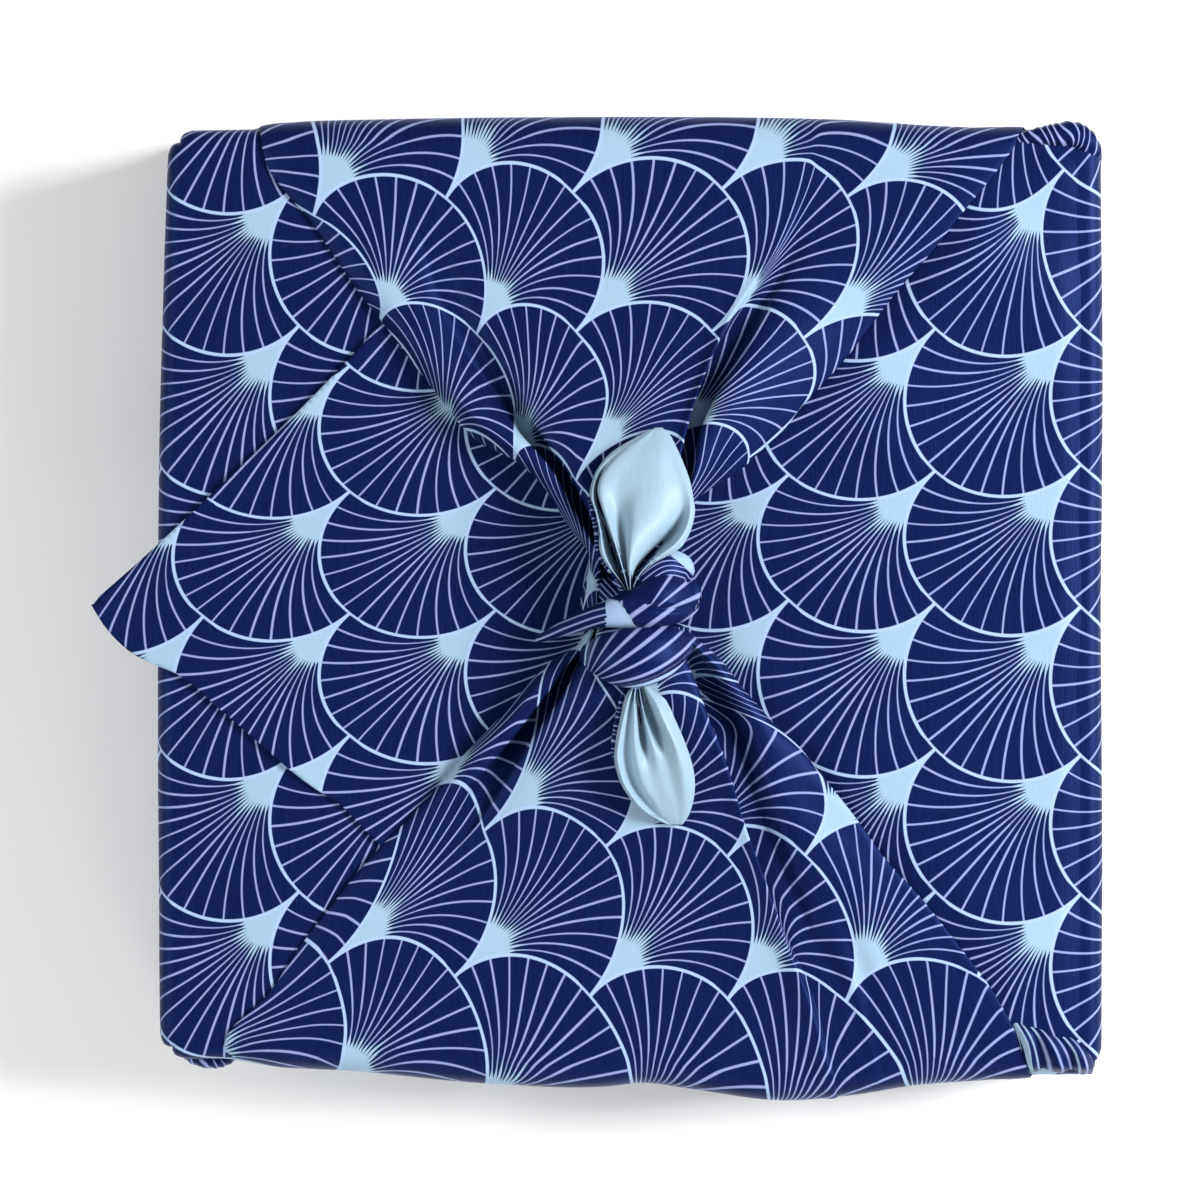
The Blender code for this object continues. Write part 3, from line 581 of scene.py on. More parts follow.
# Guides of the front corner, in the same order.
FRONT_LEFT_Y = (9, 15, 19, 26, 33, 38, 47, 55, 60, 66, 74, 83, 92, 103, 117, 133, 141)
FRONT_SLIT_Y = (9, 15, 19, 26, 33, 38, 47, 55, 60, 66, 74, 83, 92, 117, 141)
FRONT_SHOULDER_Y = (9, 14, 20, 28, 35, 45, 55, 62, 70, 83, 92, 102, 110, 122, 141)
FRONT_NOSE_Y = (9, 14, 20, 28, 35, 45, 55, 62, 70, 83, 92, 102, 110, 122, 130, 141)
FRONT_GUIDES = [
    # left side
    fold(FRONT_LEFT_Y,
         (-13, -16.5, -23.5, -30.5, -36, -41, -49.5, -56, -60.5, -66, -74, -82, -89, -97.5, -106.5, -118,
          -122), (9, 8.4, 7.5, 6.6, 5.5, 4.8, 3.5, 2.6, 2, 1.6, 1.3, 1.1, 1, 0.8, 0.8, 0.8, 0.8)),
    # left crest
    fold(FRONT_LEFT_Y,
         (-11.5, -14.5, -20.5, -27, -32.5, -36.5, -44.8, -51.8, -56, -62, -70, -78, -85, -93, -101, -112,
          -116), (13.5, 13.5, 13, 12, 10.6, 9.6, 7.8, 6, 4.8, 3.6, 2.9, 2.5, 2.3, 2.1, 2, 1.9, 1.8)),
    # slit, left edge
    fold(FRONT_SLIT_Y,
         (-10.5, -13.2, -17.8, -22.8, -28.3, -32, -39.5, -46.3, -50.5, -56, -62, -67, -71, -78, -80),
         (13, 13, 12.6, 11.6, 10.2, 9.2, 7.2, 5.2, 4.2, 3.4, 2.8, 2.5, 2.4, 2.1, 1.8)),
    # slit's floor, left
    fold(FRONT_SLIT_Y,
         (-11.2, -13.6, -18.2, -23.4, -28.8, -32.4, -39.8, -46, -49.6, -53.4, -58, -62, -66, -72, -74),
         (9, 6, 3, 1, 0.8, 0.8, 0.8, 1, 1.4, 1.9, 2.2, 2.3, 2.3, 2.1, 1.8)),
    # slit's floor, right
    fold(FRONT_SLIT_Y,
         (-9.8, -11.4, -14, -17.4, -21.8, -25.4, -31.8, -37.8, -41.4, -46, -52, -57, -61.5, -69, -71),
         (9, 6, 3, 1, 0.8, 0.8, 0.8, 1, 1.4, 1.9, 2.2, 2.3, 2.3, 2.1, 1.8)),
    # slit, right edge
    fold(FRONT_SLIT_Y,
         (-9.2, -11, -13.8, -17.6, -22.2, -25.8, -32, -37, -40, -44, -49.5, -54.5, -59, -66, -68),
         (14, 15.2, 15.3, 14.6, 12.8, 11.4, 8.8, 6.6, 5.2, 3.8, 3.1, 2.7, 2.5, 2.1, 1.8)),
    # middle
    fold((9, 16, 24, 33, 43, 53, 64, 77, 90, 103, 118, 141), (-1, -1, -1, -1, 0, 2, 4, 6, 7, 8, 8, 8),
         (16.5, 18.3, 17.4, 15, 12.6, 9.8, 7.4, 5.4, 4, 3, 2.4, 1.8)),
    # shoulder
    fold(FRONT_SHOULDER_Y, (7, 10, 13, 15.8, 18.8, 22.4, 25.4, 27.6, 29.8, 33.5, 36.5, 39.5, 42.5, 47, 52),
         (15.5, 16.6, 16.4, 15, 13.6, 11.4, 9.3, 8, 6.8, 5.4, 4.6, 3.8, 3.2, 2.6, 1.8)),
    # nose
    fold(FRONT_NOSE_Y,
         (10.5, 13.8, 16.8, 20, 22.5, 26.7, 29.9, 31.9, 34.5, 39.4, 42.6, 45.8, 49, 54, 57, 61),
         (14, 14.6, 14.4, 13.4, 12.6, 11.2, 10, 9, 8, 6.4, 5.4, 4.6, 4.2, 3.8, 3.5, 2.8)),
    # under the nose
    fold(FRONT_NOSE_Y,
         (10.3, 13.2, 15.8, 18.8, 21.1, 25, 28.2, 30.4, 33.4, 38.8, 42.6, 47, 50.6, 56, 59, 62.5),
         (11.5, 10, 6.5, 3.6, 2, 1.2, 1.1, 1.2, 1.3, 1.6, 1.9, 2.1, 2.2, 2.1, 1.9, 1.7)),
    # fold's floor
    fold(FRONT_NOSE_Y, (11.6, 16, 21, 25, 28, 31, 34.4, 37, 40.2, 45.8, 49.6, 53, 55.4, 59, 61.4, 64.5),
         (11, 8.6, 5, 2, 1.2, 1, 1, 1.1, 1.2, 1.5, 1.8, 2, 2.1, 2, 1.85, 1.7)),
    # fold's rise
    fold(FRONT_SHOULDER_Y, (12.8, 18.2, 24, 29.6, 33.6, 37.6, 40.6, 42.8, 45.4, 50, 53.4, 56.9, 60, 65, 72),
         (13.2, 12.6, 11.2, 9.4, 8.2, 7.6, 7.2, 6.8, 6.2, 5.2, 4.4, 3.6, 3, 2.4, 1.8)),
    # right crest
    fold((9, 14, 20, 26, 32, 38, 45, 55, 64, 77, 90, 103, 117, 141),
         (15, 20, 26, 30.4, 35.2, 40, 45.6, 52.4, 59, 69, 81, 91, 101.5, 113),
         (13.2, 12, 10.8, 9.8, 8.8, 8, 7.2, 6, 5, 4.1, 3.4, 3, 2.6, 1.8)),
    # right side
    fold((9, 12, 15, 20, 26, 32, 38, 44.5, 51, 57, 64, 70, 77, 88, 103, 115, 125, 141),
         (17, 19, 22.8, 27.8, 32.3, 37.6, 42.8, 50, 55, 60, 65.5, 70, 75, 85, 97, 106, 112, 119),
         (9, 8.8, 8.4, 7.8, 7, 6.2, 5.4, 4.4, 3.8, 3.4, 3.1, 2.9, 2.7, 2.5, 2.3, 2.1, 1.8, 0.8)),
]
NOSE, UNDER = 9, 10   # guides where the print goes into the fold and comes out, after the tuck is added
# How many faces lie between each guide and the next.
FACES_BETWEEN = (4, 5, 9, 9, 6, 9, 26, 22, 9, 7, 6, 10, 24, 7, 4)

# Places of the print's columns across a gather, a to d left of the fold and e and f right of it.
Columns = namedtuple("Columns", "y a b c d e f")
BACK_COLUMNS = rows_of(Columns,
    (6, -22, -14, -4, 5, 12, 19), (20, -32, -20, -10, 9, 18, 29), (40, -50, -33.5, -16.5, 14.5, 33, 54),
    (48, -56, -37, -15.5, 16.5, 38, 65), (60, -63, -40, -14, 20.5, 45, 79),
    (80, -72.5, -45.5, -16, 24, 51.5, 90), (120, -96, -54.5, -17, 27, 64, 104),
    (141, -103, -58, -17.5, 28.5, 69, 114))
FRONT_COLUMNS = rows_of(Columns,
    (9, -24, -13, -2, 9, 4, 24), (24, -36, -28, -2, 22, 10.5, 38), (30, -41, -31, -2, 24.5, 22, 51),
    (37, -47, -33.5, -2.5, 26, 36, 68), (45, -54, -36, -4.5, 27.5, 43.6, 81),
    (61, -66, -41, -6.4, 28.3, 50.6, 88), (76, -75, -45, -7.4, 28.5, 51.4, 90),
    (115, -91, -52, -12, 28.5, 62.5, 104), (147, -93, -50, -7, 33.5, 74, 124))
# Distances of the print's rows from the middle, for each column.
Distances = namedtuple("Distances", "i near middle far")
BACK_ROWS = rows_of(Distances,
    (-2, 45, 83, 114.5), (-1, 41.5, 79.5, 119.5), (0, 36, 80, 121), (1, 47, 80, 122), (2, 43, 78, 120),
    (3, 42, 76, 111.5))
FRONT_ROWS = rows_of(Distances,
    (-2, 13, 61, 108), (-1, 18, 69, 112), (0, 36, 73.5, 117.5), (1, 35, 76.5, 118), (2, 31, 76, 118.5),
    (3, 34, 73, 112))
WALL_HALF = 134.0                       # the folded edges reach the corners at the base
EDGE_Y = HALF + 1.0                     # the gathers lie just outside the parcel's side
BEND_Y = EDGE_Y - SOFT_EDGE             # where they have come over the edge
EDGE_RUN = TOP - SOFT_EDGE              # length of the wall below the bend
BEND_RUN = SOFT_EDGE * math.pi / 2.0
TUCK = 4.5                              # how far a folded edge's cloth runs back under
TUCK_UP = -0.3                          # and how high it lies there
FLOOR_UP = 2.4                          # a fold's floor lies on the layer below it
ACROSS, ALONG = 216, 150                # faces across a gather and along it
THIN = 0.4                              # cloth drawn tight, so that its folds lie close


def loft(guides, at, share, faces):
    """Smooth cross-sections through guide lines. at picks the row of the guides for each point and
    share its place from the first guide to the last; returns x, up and the guide it is at."""
    rows, which = np.unique(at, return_inverse=True)
    gx = np.stack([follow(g, "x", rows) for g in guides], axis=1)
    gz = np.stack([follow(g, "up", rows) for g in guides], axis=1)
    reach = np.hypot(np.diff(gx, axis=1), np.diff(gz, axis=1)) ** 0.5 + 1e-3
    ends = np.concatenate([[0.0], np.cumsum(faces)])
    guide = np.interp(share, ends / ends[-1], np.arange(len(ends)))
    k = np.clip(guide.astype(int), 0, len(guides) - 2)
    t, h = guide - k, reach[which, k]
    out = []
    for g in (gx, gz):
        step = np.diff(g, axis=1) / reach
        before, after = reach[:, :-1], reach[:, 1:]
        inner = (step[:, :-1] * after + step[:, 1:] * before) / (before + after)
        m = np.concatenate([step[:, :1], inner, step[:, -1:]], axis=1)
        out.append(curve(t, g[which, k], g[which, k + 1], m[which, k], m[which, k + 1], h))
    return out[0], out[1], guide


def gather(guides, columns, rows, first_row, side, seed, flat):
    """Points of one gather and their places in the print. flat is the share across and the run up
    from the base, over the edge and in to the knot."""
    share, run = flat[:, 0], flat[:, 1]
    near = guides[0][0].y
    tucked_left = [Guide(g.y, g.x + TUCK, TUCK_UP) for g in guides[0]]
    tucked_right = [Guide(g.y, g.x - TUCK, TUCK_UP) for g in guides[-1]]
    guides = [tucked_left] + guides + [tucked_right]
    past_bend = run - EDGE_RUN - BEND_RUN
    bend = np.clip((run - EDGE_RUN) / BEND_RUN, 0.0, 1.0) * math.pi / 2.0
    inward = np.maximum(past_bend, 0.0)
    over_edge = EDGE_Y - SOFT_EDGE * bend / (math.pi / 2.0)
    y_row = np.where(inward > 0, np.maximum(BEND_Y - inward, near), over_edge)
    x, up, guide = loft(guides, np.round(y_row, 6), share, FACES_BETWEEN)
    # The print goes across by columns, and skips what the fold hides. Near the edge the fold lies
    # flatter, so that the print passes over it more slowly.
    y_all = BEND_Y - past_bend
    y_print = np.clip(y_all, columns[0].y, columns[-1].y)
    places = [follow(columns, name, y_print) for name in "abcdef"]
    left_of_fold = between_lines(x, places[:4] + [2 * places[3] - places[2]], -2.0)
    right_of_fold = between_lines(x, [2 * places[4] - places[5]] + places[4:], 1.0)
    shallow, flattened = smooth((y_row - 72.0) / 30.0), smooth((y_row - 96.0) / 24.0)
    into = smooth((guide - NOSE + 0.8 * flattened) / (UNDER - NOSE + shallow + 1.6 * flattened))
    i = left_of_fold * (1.0 - into) + right_of_fold * into
    lines = [follow(rows, name, i) for name in ("near", "middle", "far")]
    j = between_lines(y_all, lines, first_row) if side > 0 else -between_lines(y_all, lines, -first_row)
    # Small unevenness, drawn finer towards the knot.
    tight = smooth((100.0 - y_row) / 80.0)
    uneven = 0.22 * ripple(x * (1.0 + 1.2 * tight), y_row, 34.0, seed) * (0.5 + tight)
    up = up + uneven * smooth(guide) * smooth(len(guides) - 1.0 - guide)
    if side < 0:   # smaller creases run beside the front corner's fold, on to the edge and over it
        beside = x - follow(guides[NOSE], "x", y_row)
        held = smooth((beside - 3.0) / 5.0) * smooth((36.0 - beside) / 26.0) * smooth((y_row - 86.0) / 22.0)
        up = up + 0.55 * held * np.sin(2.0 * math.pi * (beside + 0.06 * y_row) / 9.5)
    between_sides = smooth((guide - 1.6) / 0.8) * smooth((13.4 - guide) / 0.8)
    up = np.maximum(up, FLOOR_UP * between_sides)
    wall = 1.0 - smooth(run / EDGE_RUN)
    reach = np.where(x < 0, -guides[1][-1].x, guides[-2][-1].x)
    x = x * (1.0 + (WALL_HALF / reach - 1.0) * wall)
    foot = smooth(run / 9.0)
    up = up * (0.45 + 0.55 * foot) - 0.9 * (1.0 - foot)
    stand = follow(BACK if side > 0 else FRONT, "out", x)
    y = HALF - SOFT_EDGE + stand * smooth((y_row - 112.0) / 24.0) + SOFT_EDGE * np.cos(bend) - inward
    z = np.where(run < EDGE_RUN, np.maximum(run, 0.0), EDGE_RUN + SOFT_EDGE * np.sin(bend))
    z = np.where(inward > 0, parcel_top(x, side * np.minimum(y_row, 132.0)), z)
    placed = np.stack([x, side * (y + up * np.cos(bend)), z + up * np.sin(bend)], axis=1)
    return placed, np.stack([i, j], axis=1)


def unit_grid(across, along, length=1.0, turned=False):
    """A flat grid, 1 across and length along. Its faces look the other way if turned."""
    bm = bmesh.new()
    bmesh.ops.create_grid(bm, x_segments=across, y_segments=along, size=0.5)
    bmesh.ops.translate(bm, vec=(0.5, 0.5, 0.0), verts=bm.verts)
    bmesh.ops.scale(bm, vec=(1.0, length, 1.0), verts=bm.verts)
    if turned:
        bmesh.ops.reverse_faces(bm, faces=bm.faces)
    return bm


for name, side, guides, columns, rows, first_row, seed in (
        ("back_corner", 1.0, BACK_GUIDES, BACK_COLUMNS, BACK_ROWS, -1.0, 21),
        ("front_corner", -1.0, FRONT_GUIDES, FRONT_COLUMNS, FRONT_ROWS, 2.0, 22)):
    length = EDGE_RUN + BEND_RUN + BEND_Y - guides[0][0].y
    grid = unit_grid(ACROSS, ALONG, length, turned=side > 0)
    placed, print_at = gather(guides, columns, rows, first_row, side, seed, points_of(grid))
    piece = cloth_piece(name, grid, placed, print_at, thickness=THIN)

# ------------------------------
# Knot: the two gathered corners tied in a square knot. One strand crosses over the other and each is
# pulled round it, so the knot shows two plump bands of the printed satin.

Strand = namedtuple("Strand", "at x y z width depth")


def strand(*rows):
    """Cross-sections along a band of cloth, each with its middle, width and depth."""
    return [Strand(at, *row) for at, row in enumerate(rows)]


LOWER_BAND = strand(
    (-7, -12, 57, 9, 8), (-9.6, -15, 62, 9, 8), (-10.2, -16, 67.5, 10, 8.4), (-7.4, -16.4, 72.2, 13.4, 9.4),
    (-2, -16.8, 74.4, 17, 10.4), (4.6, -16, 74.6, 17.4, 10.6), (9.8, -14, 72.4, 15, 9.8),
    (12.4, -12.6, 67.4, 12, 8.6), (11.8, -12, 61, 10.5, 8), (9, -11, 56, 9, 8))
UPPER_BAND = strand(
    (-27, -11.4, 58.5, 2.4, 2.4), (-24.4, -10.4, 63, 3, 3), (-18.4, -7.8, 67.4, 4.8, 4.8),
    (-10, -4.8, 71.6, 6.8, 7.6), (-2.6, -3.2, 74.4, 10, 9), (4.2, -1.6, 75.4, 13.4, 9.6),
    (9.6, 0.2, 74.4, 15.4, 9.4), (13, 1, 70.6, 15.4, 9), (13.6, 1.4, 65, 14, 8.4), (12, 2, 59, 12, 8))


STEPS = 400   # places at which a band's course is worked out


def wind(strands, flat, seed, crease):
    """Points of a gathered band that follows its cross-sections, with soft creases along it. flat is
    the share round it and along it. Returns them with each point's run along the band and across it."""
    last = strands[-1].at
    at = flat[:, 1] * last
    turn = 2.0 * math.pi * flat[:, 0]
    steps = np.linspace(0.0, last, STEPS)
    centre = np.stack([follow(strands, name, steps) for name in "xyz"], axis=1)
    ahead = np.gradient(centre, axis=0)
    run = np.concatenate([[0.0], np.cumsum(np.linalg.norm(np.diff(centre, axis=0), axis=1))])
    ahead /= np.linalg.norm(ahead, axis=1, keepdims=True)
    side = np.stack([-ahead[:, 1], ahead[:, 0], 0.0 * ahead[:, 0]], axis=1)
    side /= np.linalg.norm(side, axis=1, keepdims=True)
    up = np.cross(ahead, side)
    centre, side, up = (np.stack([np.interp(at, steps, part[:, k]) for k in range(3)], axis=1)
                        for part in (centre, side, up))
    along = np.interp(at, steps, run)
    folds = crease * (np.cos(turn * 5.0 + 0.04 * along) + 0.6 * np.cos(turn * 8.0 - 0.06 * along + seed))
    width = follow(strands, "width", at) * (1.0 + folds)
    depth = follow(strands, "depth", at) * (1.0 + folds)
    placed = centre - side * (0.5 * width * np.cos(turn))[:, None]
    placed += up * (0.5 * depth * np.sin(turn))[:, None]
    return placed, along - np.interp(last / 2.0, steps, run), -0.5 * width * np.cos(turn)


def on_fan(reach, lean):
    """Place in the print of a point of one fan, from its distance to the fan's foot and its lean."""
    off = 0.5 * lean * reach**2
    rise = np.sqrt(np.maximum(reach**2 - off**2, 0.0))
    return np.stack([(rise + off) / 2.0, (rise - off) / 2.0], axis=1)


FIRST_RIB, RIB_STEP = 3.0, 6.0   # a fan's ribs lie at 3 degrees of lean from its middle and every 6 more
FAN_FOOT = (-13.2, -24.0)        # the lower band's one fan stands here, with its rims along the edges

lower_grid = unit_grid(96, 90, turned=True)
lower_placed, _, _ = wind(LOWER_BAND, points_of(lower_grid), 0.6, 0.012)
fan_x, fan_y = lower_placed[:, 0] - FAN_FOOT[0], lower_placed[:, 1] - FAN_FOOT[1]
away, turned = np.hypot(fan_x, fan_y), np.degrees(np.arctan2(fan_y, fan_x))
# The fan's two rims, as angles at each distance from its foot. Its ribs fill the cloth between them.
lower_rim, upper_rim = 1.06 * away - 20.0, 98.0 - away
share = (turned - lower_rim) / (upper_rim - lower_rim)
rib_angle = np.interp(share, [-0.2, 0.0, 0.035, 0.06, 0.94, 0.965, 1.0, 1.2],
                      [-51.0, -45.0, -44.0, -17.0, 17.0, 44.0, 45.0, 51.0])
lower_print = on_fan(1.18 + 0.005 * away, np.tan(np.radians(-rib_angle)))
lower_band = cloth_piece("lower_knot_band", lower_grid, lower_placed, lower_print)

upper_grid = unit_grid(96, 96, turned=True)
upper_flat = points_of(upper_grid)
upper_placed, upper_run, upper_across = wind(UPPER_BAND, upper_flat, 2.1, 0.014)
upper_x, upper_y = upper_placed[:, 0], upper_placed[:, 1]
LEFT_END = -7.6              # the band's left half goes under its right one here
FOLD_FOOT = (2.4, -6.2)      # where the ribs of the cloth above the pinch line come together
FOLD_RIBS, HALF_RIBS = 16.0, 5.2   # degrees between those ribs, and mm between the right half's
# The cloth above the pinch line is a second fold, whose ribs spread from under the lower band.
pinch_line = np.interp(upper_x, [-8, -4.5, -1, 4.5, 11, 20], [0.6, -0.4, -1.0, -1.5, -2.7, -2])
pinched = np.exp(-(((upper_y - pinch_line) / 0.9) ** 2)) * smooth((upper_x + 1.0) / 3.0)
upper_placed[:, 2] -= 1.3 * pinched * smooth(upper_flat[:, 0] * 40.0) * (upper_flat[:, 0] < 0.5)
turned = np.degrees(np.arctan2(upper_y - FOLD_FOOT[1], upper_x - FOLD_FOOT[0]))
rib_angle = np.minimum(FIRST_RIB + RIB_STEP * (turned - 23.0) / FOLD_RIBS, 18.0)
upper_fold = on_fan(np.full_like(turned, 1.3), np.tan(np.radians(rib_angle)))
pale_edge = np.interp(upper_y, [-8.5, -7, -5.5, -2.5, -0.5], [1.5, 0, -1, -2.75, -4.5])
across_ribs = 0.81 * (upper_y + 5.5) - 0.59 * (upper_x + 1.0)
rib_angle = FIRST_RIB + RIB_STEP * across_ribs / HALF_RIBS
right_half = on_fan(0.08 + 1.22 * smooth((upper_x - pale_edge) / 1.6), np.tan(np.radians(rib_angle)))
left_half = on_fan(1.25 + 0.01 * upper_run, 0.06 + 0.055 * upper_across)


def upper_print(mesh, corner_vertex):
    """The print changes where the band's left half goes under its right one, and at the pinch."""
    lead = np.repeat(corner_vertex[::4], 4)
    under = upper_placed[lead, :1] < LEFT_END
    beyond = (upper_y > pinch_line)[lead][:, None]
    folded = np.where(beyond, upper_fold[corner_vertex], right_half[corner_vertex])
    return np.where(under, left_half[corner_vertex], folded)


upper_band = cloth_piece("upper_knot_band", upper_grid, upper_placed, upper_print)

# ------------------------------
# Ears: the two corner tips of the satin that come out of the knot, opened like leaves with the
# unprinted side up and creased where the knot pinches them. A rolled hem runs along each one's left
# edge, and printed cloth shows at the back one's root.

EAR_ACROSS, EAR_ALONG = 140, 110
FRONT_EAR_Y = (25, 30, 35, 40, 45, 50, 55, 60, 63.3, 66)
BACK_EAR = [
    fold((1, 5, 9, 13, 20, 25, 30, 34, 40, 44, 47, 49, 50.5),
         (-0.6, -3, -6.5, -9, -9.6, -10.6, -12, -11.5, -8.6, -4.6, 0.4, 4.2, 7.2),
         (22, 23, 23.4, 23.6, 23, 22, 20.8, 19.6, 18, 17, 16, 15.2, 14.6)),
    fold((1, 5, 9, 13, 20, 25, 30, 34, 40, 44, 47, 50.5),
         (-0.5, -2.7, -5.6, -7.8, -8.9, -9.9, -11.2, -10.7, -7.8, -3.8, 1.2, 7.3),
         (23, 25, 26.2, 26.6, 25.8, 24.4, 22.6, 21, 19, 17.6, 16.4, 14.7)),
    fold((1, 5, 10, 13, 16, 22, 28, 32, 36, 40, 44, 47, 50.5),
         (-0.4, -1.8, -3.2, -4.1, -5, -6.8, -8.7, -9.6, -9, -6.6, -2.4, 1.8, 7.4),
         (21, 19, 16, 14.6, 13.8, 13, 13.6, 15.8, 18.2, 18.9, 18.2, 16.6, 14.7)),
    fold((1, 5, 10, 16, 22, 28, 32, 36, 40, 44, 47, 50.5),
         (-0.2, -1.3, -2.7, -4.5, -6.4, -8.3, -9.2, -8.3, -5.4, -0.8, 3, 7.6),
         (23.5, 26, 28, 27.8, 26.4, 24.4, 23, 21.6, 20.4, 18.9, 17.2, 14.8)),
    fold((1, 5, 10, 16, 22, 28, 33, 38, 44, 47, 50.5),
         (-0.1, -0.8, -1.7, -2.4, -3.2, -4, -3.4, -0.6, 3.4, 5.2, 7.7),
         (23, 24.6, 25, 24, 22.8, 22, 22, 20.9, 18.8, 17, 14.8)),
    fold((1, 5, 10, 16, 22, 28, 33, 38, 44, 47, 50.5), (0, -0.2, -0.4, 0.1, 0.8, 2, 4, 5.4, 6.2, 6.8, 7.9),
         (23.4, 26.4, 28.6, 28.4, 26.8, 24.6, 22.8, 21.2, 18.8, 17, 14.8)),
    fold((1, 5, 10, 16, 22, 30, 38, 44, 47, 50.5), (0.05, 0, 1.2, 4.6, 8, 8.8, 8.6, 8.4, 8.2, 8.1),
         (23, 24.8, 25.4, 25.4, 25, 23.2, 20.9, 18.6, 16.9, 14.8)),
    fold((1, 5, 8, 11, 15, 19, 24, 30, 38, 45, 50.5),
         (0.1, 0.5, 1.8, 3.8, 7.4, 11.4, 14.6, 15, 12.8, 10.6, 8.5),
         (21.4, 20.2, 18.8, 18, 17.8, 18.2, 19.6, 20.4, 19.4, 17.4, 14.8)),
    fold((1, 5, 8, 11, 13, 16, 20, 24, 30, 38, 45, 50.5),
         (0.2, 1.1, 2.9, 5.8, 8.6, 12.6, 15.6, 17, 17.2, 14.9, 12, 9),
         (22.8, 25, 26, 26.4, 26.2, 25.4, 24, 22.4, 20.6, 19, 16.9, 14.8)),
    fold((1, 5, 8, 11, 13, 15, 18, 22, 26, 30, 35, 40, 45, 49, 50.5),
         (0.3, 1.6, 3.7, 7.2, 11, 14.2, 16.4, 18, 18.7, 18.2, 17.2, 15.4, 13.2, 10.9, 9.2),
         (21, 23, 23.4, 23.6, 23.2, 22.8, 22, 21, 20.2, 19.4, 18.6, 17.6, 16.2, 15, 14.6)),
]
FRONT_EAR = [
    fold((25, 27, 29, 33, 38, 42, 46, 50, 54, 57, 60.5, 63.3, 65, 66),
         (0.4, -1, -1.9, -2.8, -3.9, -4.6, -4.9, -4.2, -2.8, -1, 1.6, 5, 8.2, 11),
         (20, 20.4, 20.6, 20.4, 19.6, 18.6, 17.4, 16, 14.4, 13.2, 12, 11, 10.4, 9.8)),
    fold((25, 30, 35, 40, 45, 50, 54, 57, 60.5, 63.3, 66),
         (0.8, -1, -2.2, -3.2, -3.9, -3.2, -1.8, 0, 2.8, 6.2, 11.4),
         (21.4, 22.8, 22.8, 22.2, 21, 19.4, 17.8, 16.4, 14.6, 12.8, 10)),
    fold(FRONT_EAR_Y, (1.0, 0, -0.8, -1.4, -1.6, -0.8, 1.2, 4.8, 7.8, 11.8),
         (20.6, 20.8, 20.2, 19, 17.2, 15.4, 13.6, 12, 11.2, 10)),
    fold(FRONT_EAR_Y, (1.4, 1, 1.1, 1.2, 1.6, 2.4, 4, 7.2, 9.4, 12.3),
         (22, 22.6, 22.2, 21.2, 19.8, 18.2, 16.2, 13.6, 11.8, 10)),
    fold(FRONT_EAR_Y, (1.9, 2.2, 2.8, 3.5, 4.4, 5.4, 7, 9.4, 11, 12.9),
         (17.6, 16, 15, 15.4, 17.4, 17.6, 16.2, 13.8, 12, 10)),
    fold(FRONT_EAR_Y, (2.3, 3.1, 4.2, 5.6, 7, 8.2, 9.8, 11.8, 12.8, 13.6),
         (20.8, 20.8, 20.6, 20.4, 19.6, 18.2, 16.4, 13.9, 12, 10)),
    fold((25, 30, 35, 40, 45, 50, 55, 60, 66), (2.8, 4.4, 6.4, 8.4, 10, 11.2, 12.4, 13.8, 14.2),
         (18, 16.4, 16.2, 17.4, 18.8, 18, 16.2, 13.9, 10)),
    fold((25, 30, 35, 40, 45, 50, 55, 60, 66), (4, 7.2, 9.4, 11.8, 13.8, 15.2, 16, 16, 14.8),
         (21.6, 23, 23.4, 22.8, 21.2, 19.2, 16.9, 14.1, 10)),
    fold((25, 27, 28.5, 31, 35, 40, 46, 50, 54, 58, 61, 64, 66),
         (5, 7.5, 9.6, 11.2, 13, 15.2, 17.4, 18.4, 18.8, 18.5, 17.8, 16.6, 15.2),
         (20.8, 20.8, 20.6, 20.4, 19.8, 18.8, 17, 15.8, 14.6, 13.2, 12.2, 10.8, 9.8)),
]


def open_ear(guides, side, faces, seed, flat):
    """Points of an ear, from its flat share across and along, and their places in the cloth."""
    first, last = guides[0][0].y, guides[0][-1].y
    y = first + (last - first) * flat[:, 1]
    x, up, guide = loft(guides, np.round(y, 6), flat[:, 0], faces)
    up = up + 0.18 * ripple(x, y, 17.0, seed) * smooth(flat[:, 1] * 8.0)
    placed = np.stack([x, side * y, TOP + up], axis=1)
    return placed, placed[:, :2] / REPEAT


for name, side, guides, faces, seed, flat_size, area, under in (
        ("back_ear", 1.0, BACK_EAR, [2, 5, 5, 4, 4, 4, 6, 5, 3], 31, (0.07, 0.07), 0.0018,
         ["back_corner", "upper_knot_band"]),
        ("front_ear", -1.0, FRONT_EAR, [2, 3, 2, 3, 3, 3, 4, 4], 32, (0.06, 0.06), 0.0014,
         ["front_corner", "lower_knot_band"])):
    ear_grid = unit_grid(EAR_ACROSS, EAR_ALONG, turned=side < 0)
    placed, print_at = open_ear(guides, side, faces, seed, points_of(ear_grid))
    ear = cloth_piece(name, ear_grid, placed, print_at, outside=reverse, inside=printed)

# The printed cloth at the back ear's root, between the ear and the upper band.
BACK_ROOT = strand(
    (-11, 8, 61, 5, 4), (-7.6, 3.6, 65, 6.5, 5), (-3.6, 0.4, 67.6, 7, 5), (1, 1.4, 70.6, 7.6, 6),
    (5.2, 5.4, 72.6, 9.6, 6.6), (9.8, 8.4, 72.4, 12, 6.6), (13.8, 8.4, 70.4, 11, 6), (16.4, 7, 65.6, 7, 4))
root_grid = unit_grid(48, 84, turned=True)
root_placed, _, root_across = wind(BACK_ROOT, points_of(root_grid), 3.0, 0.02)
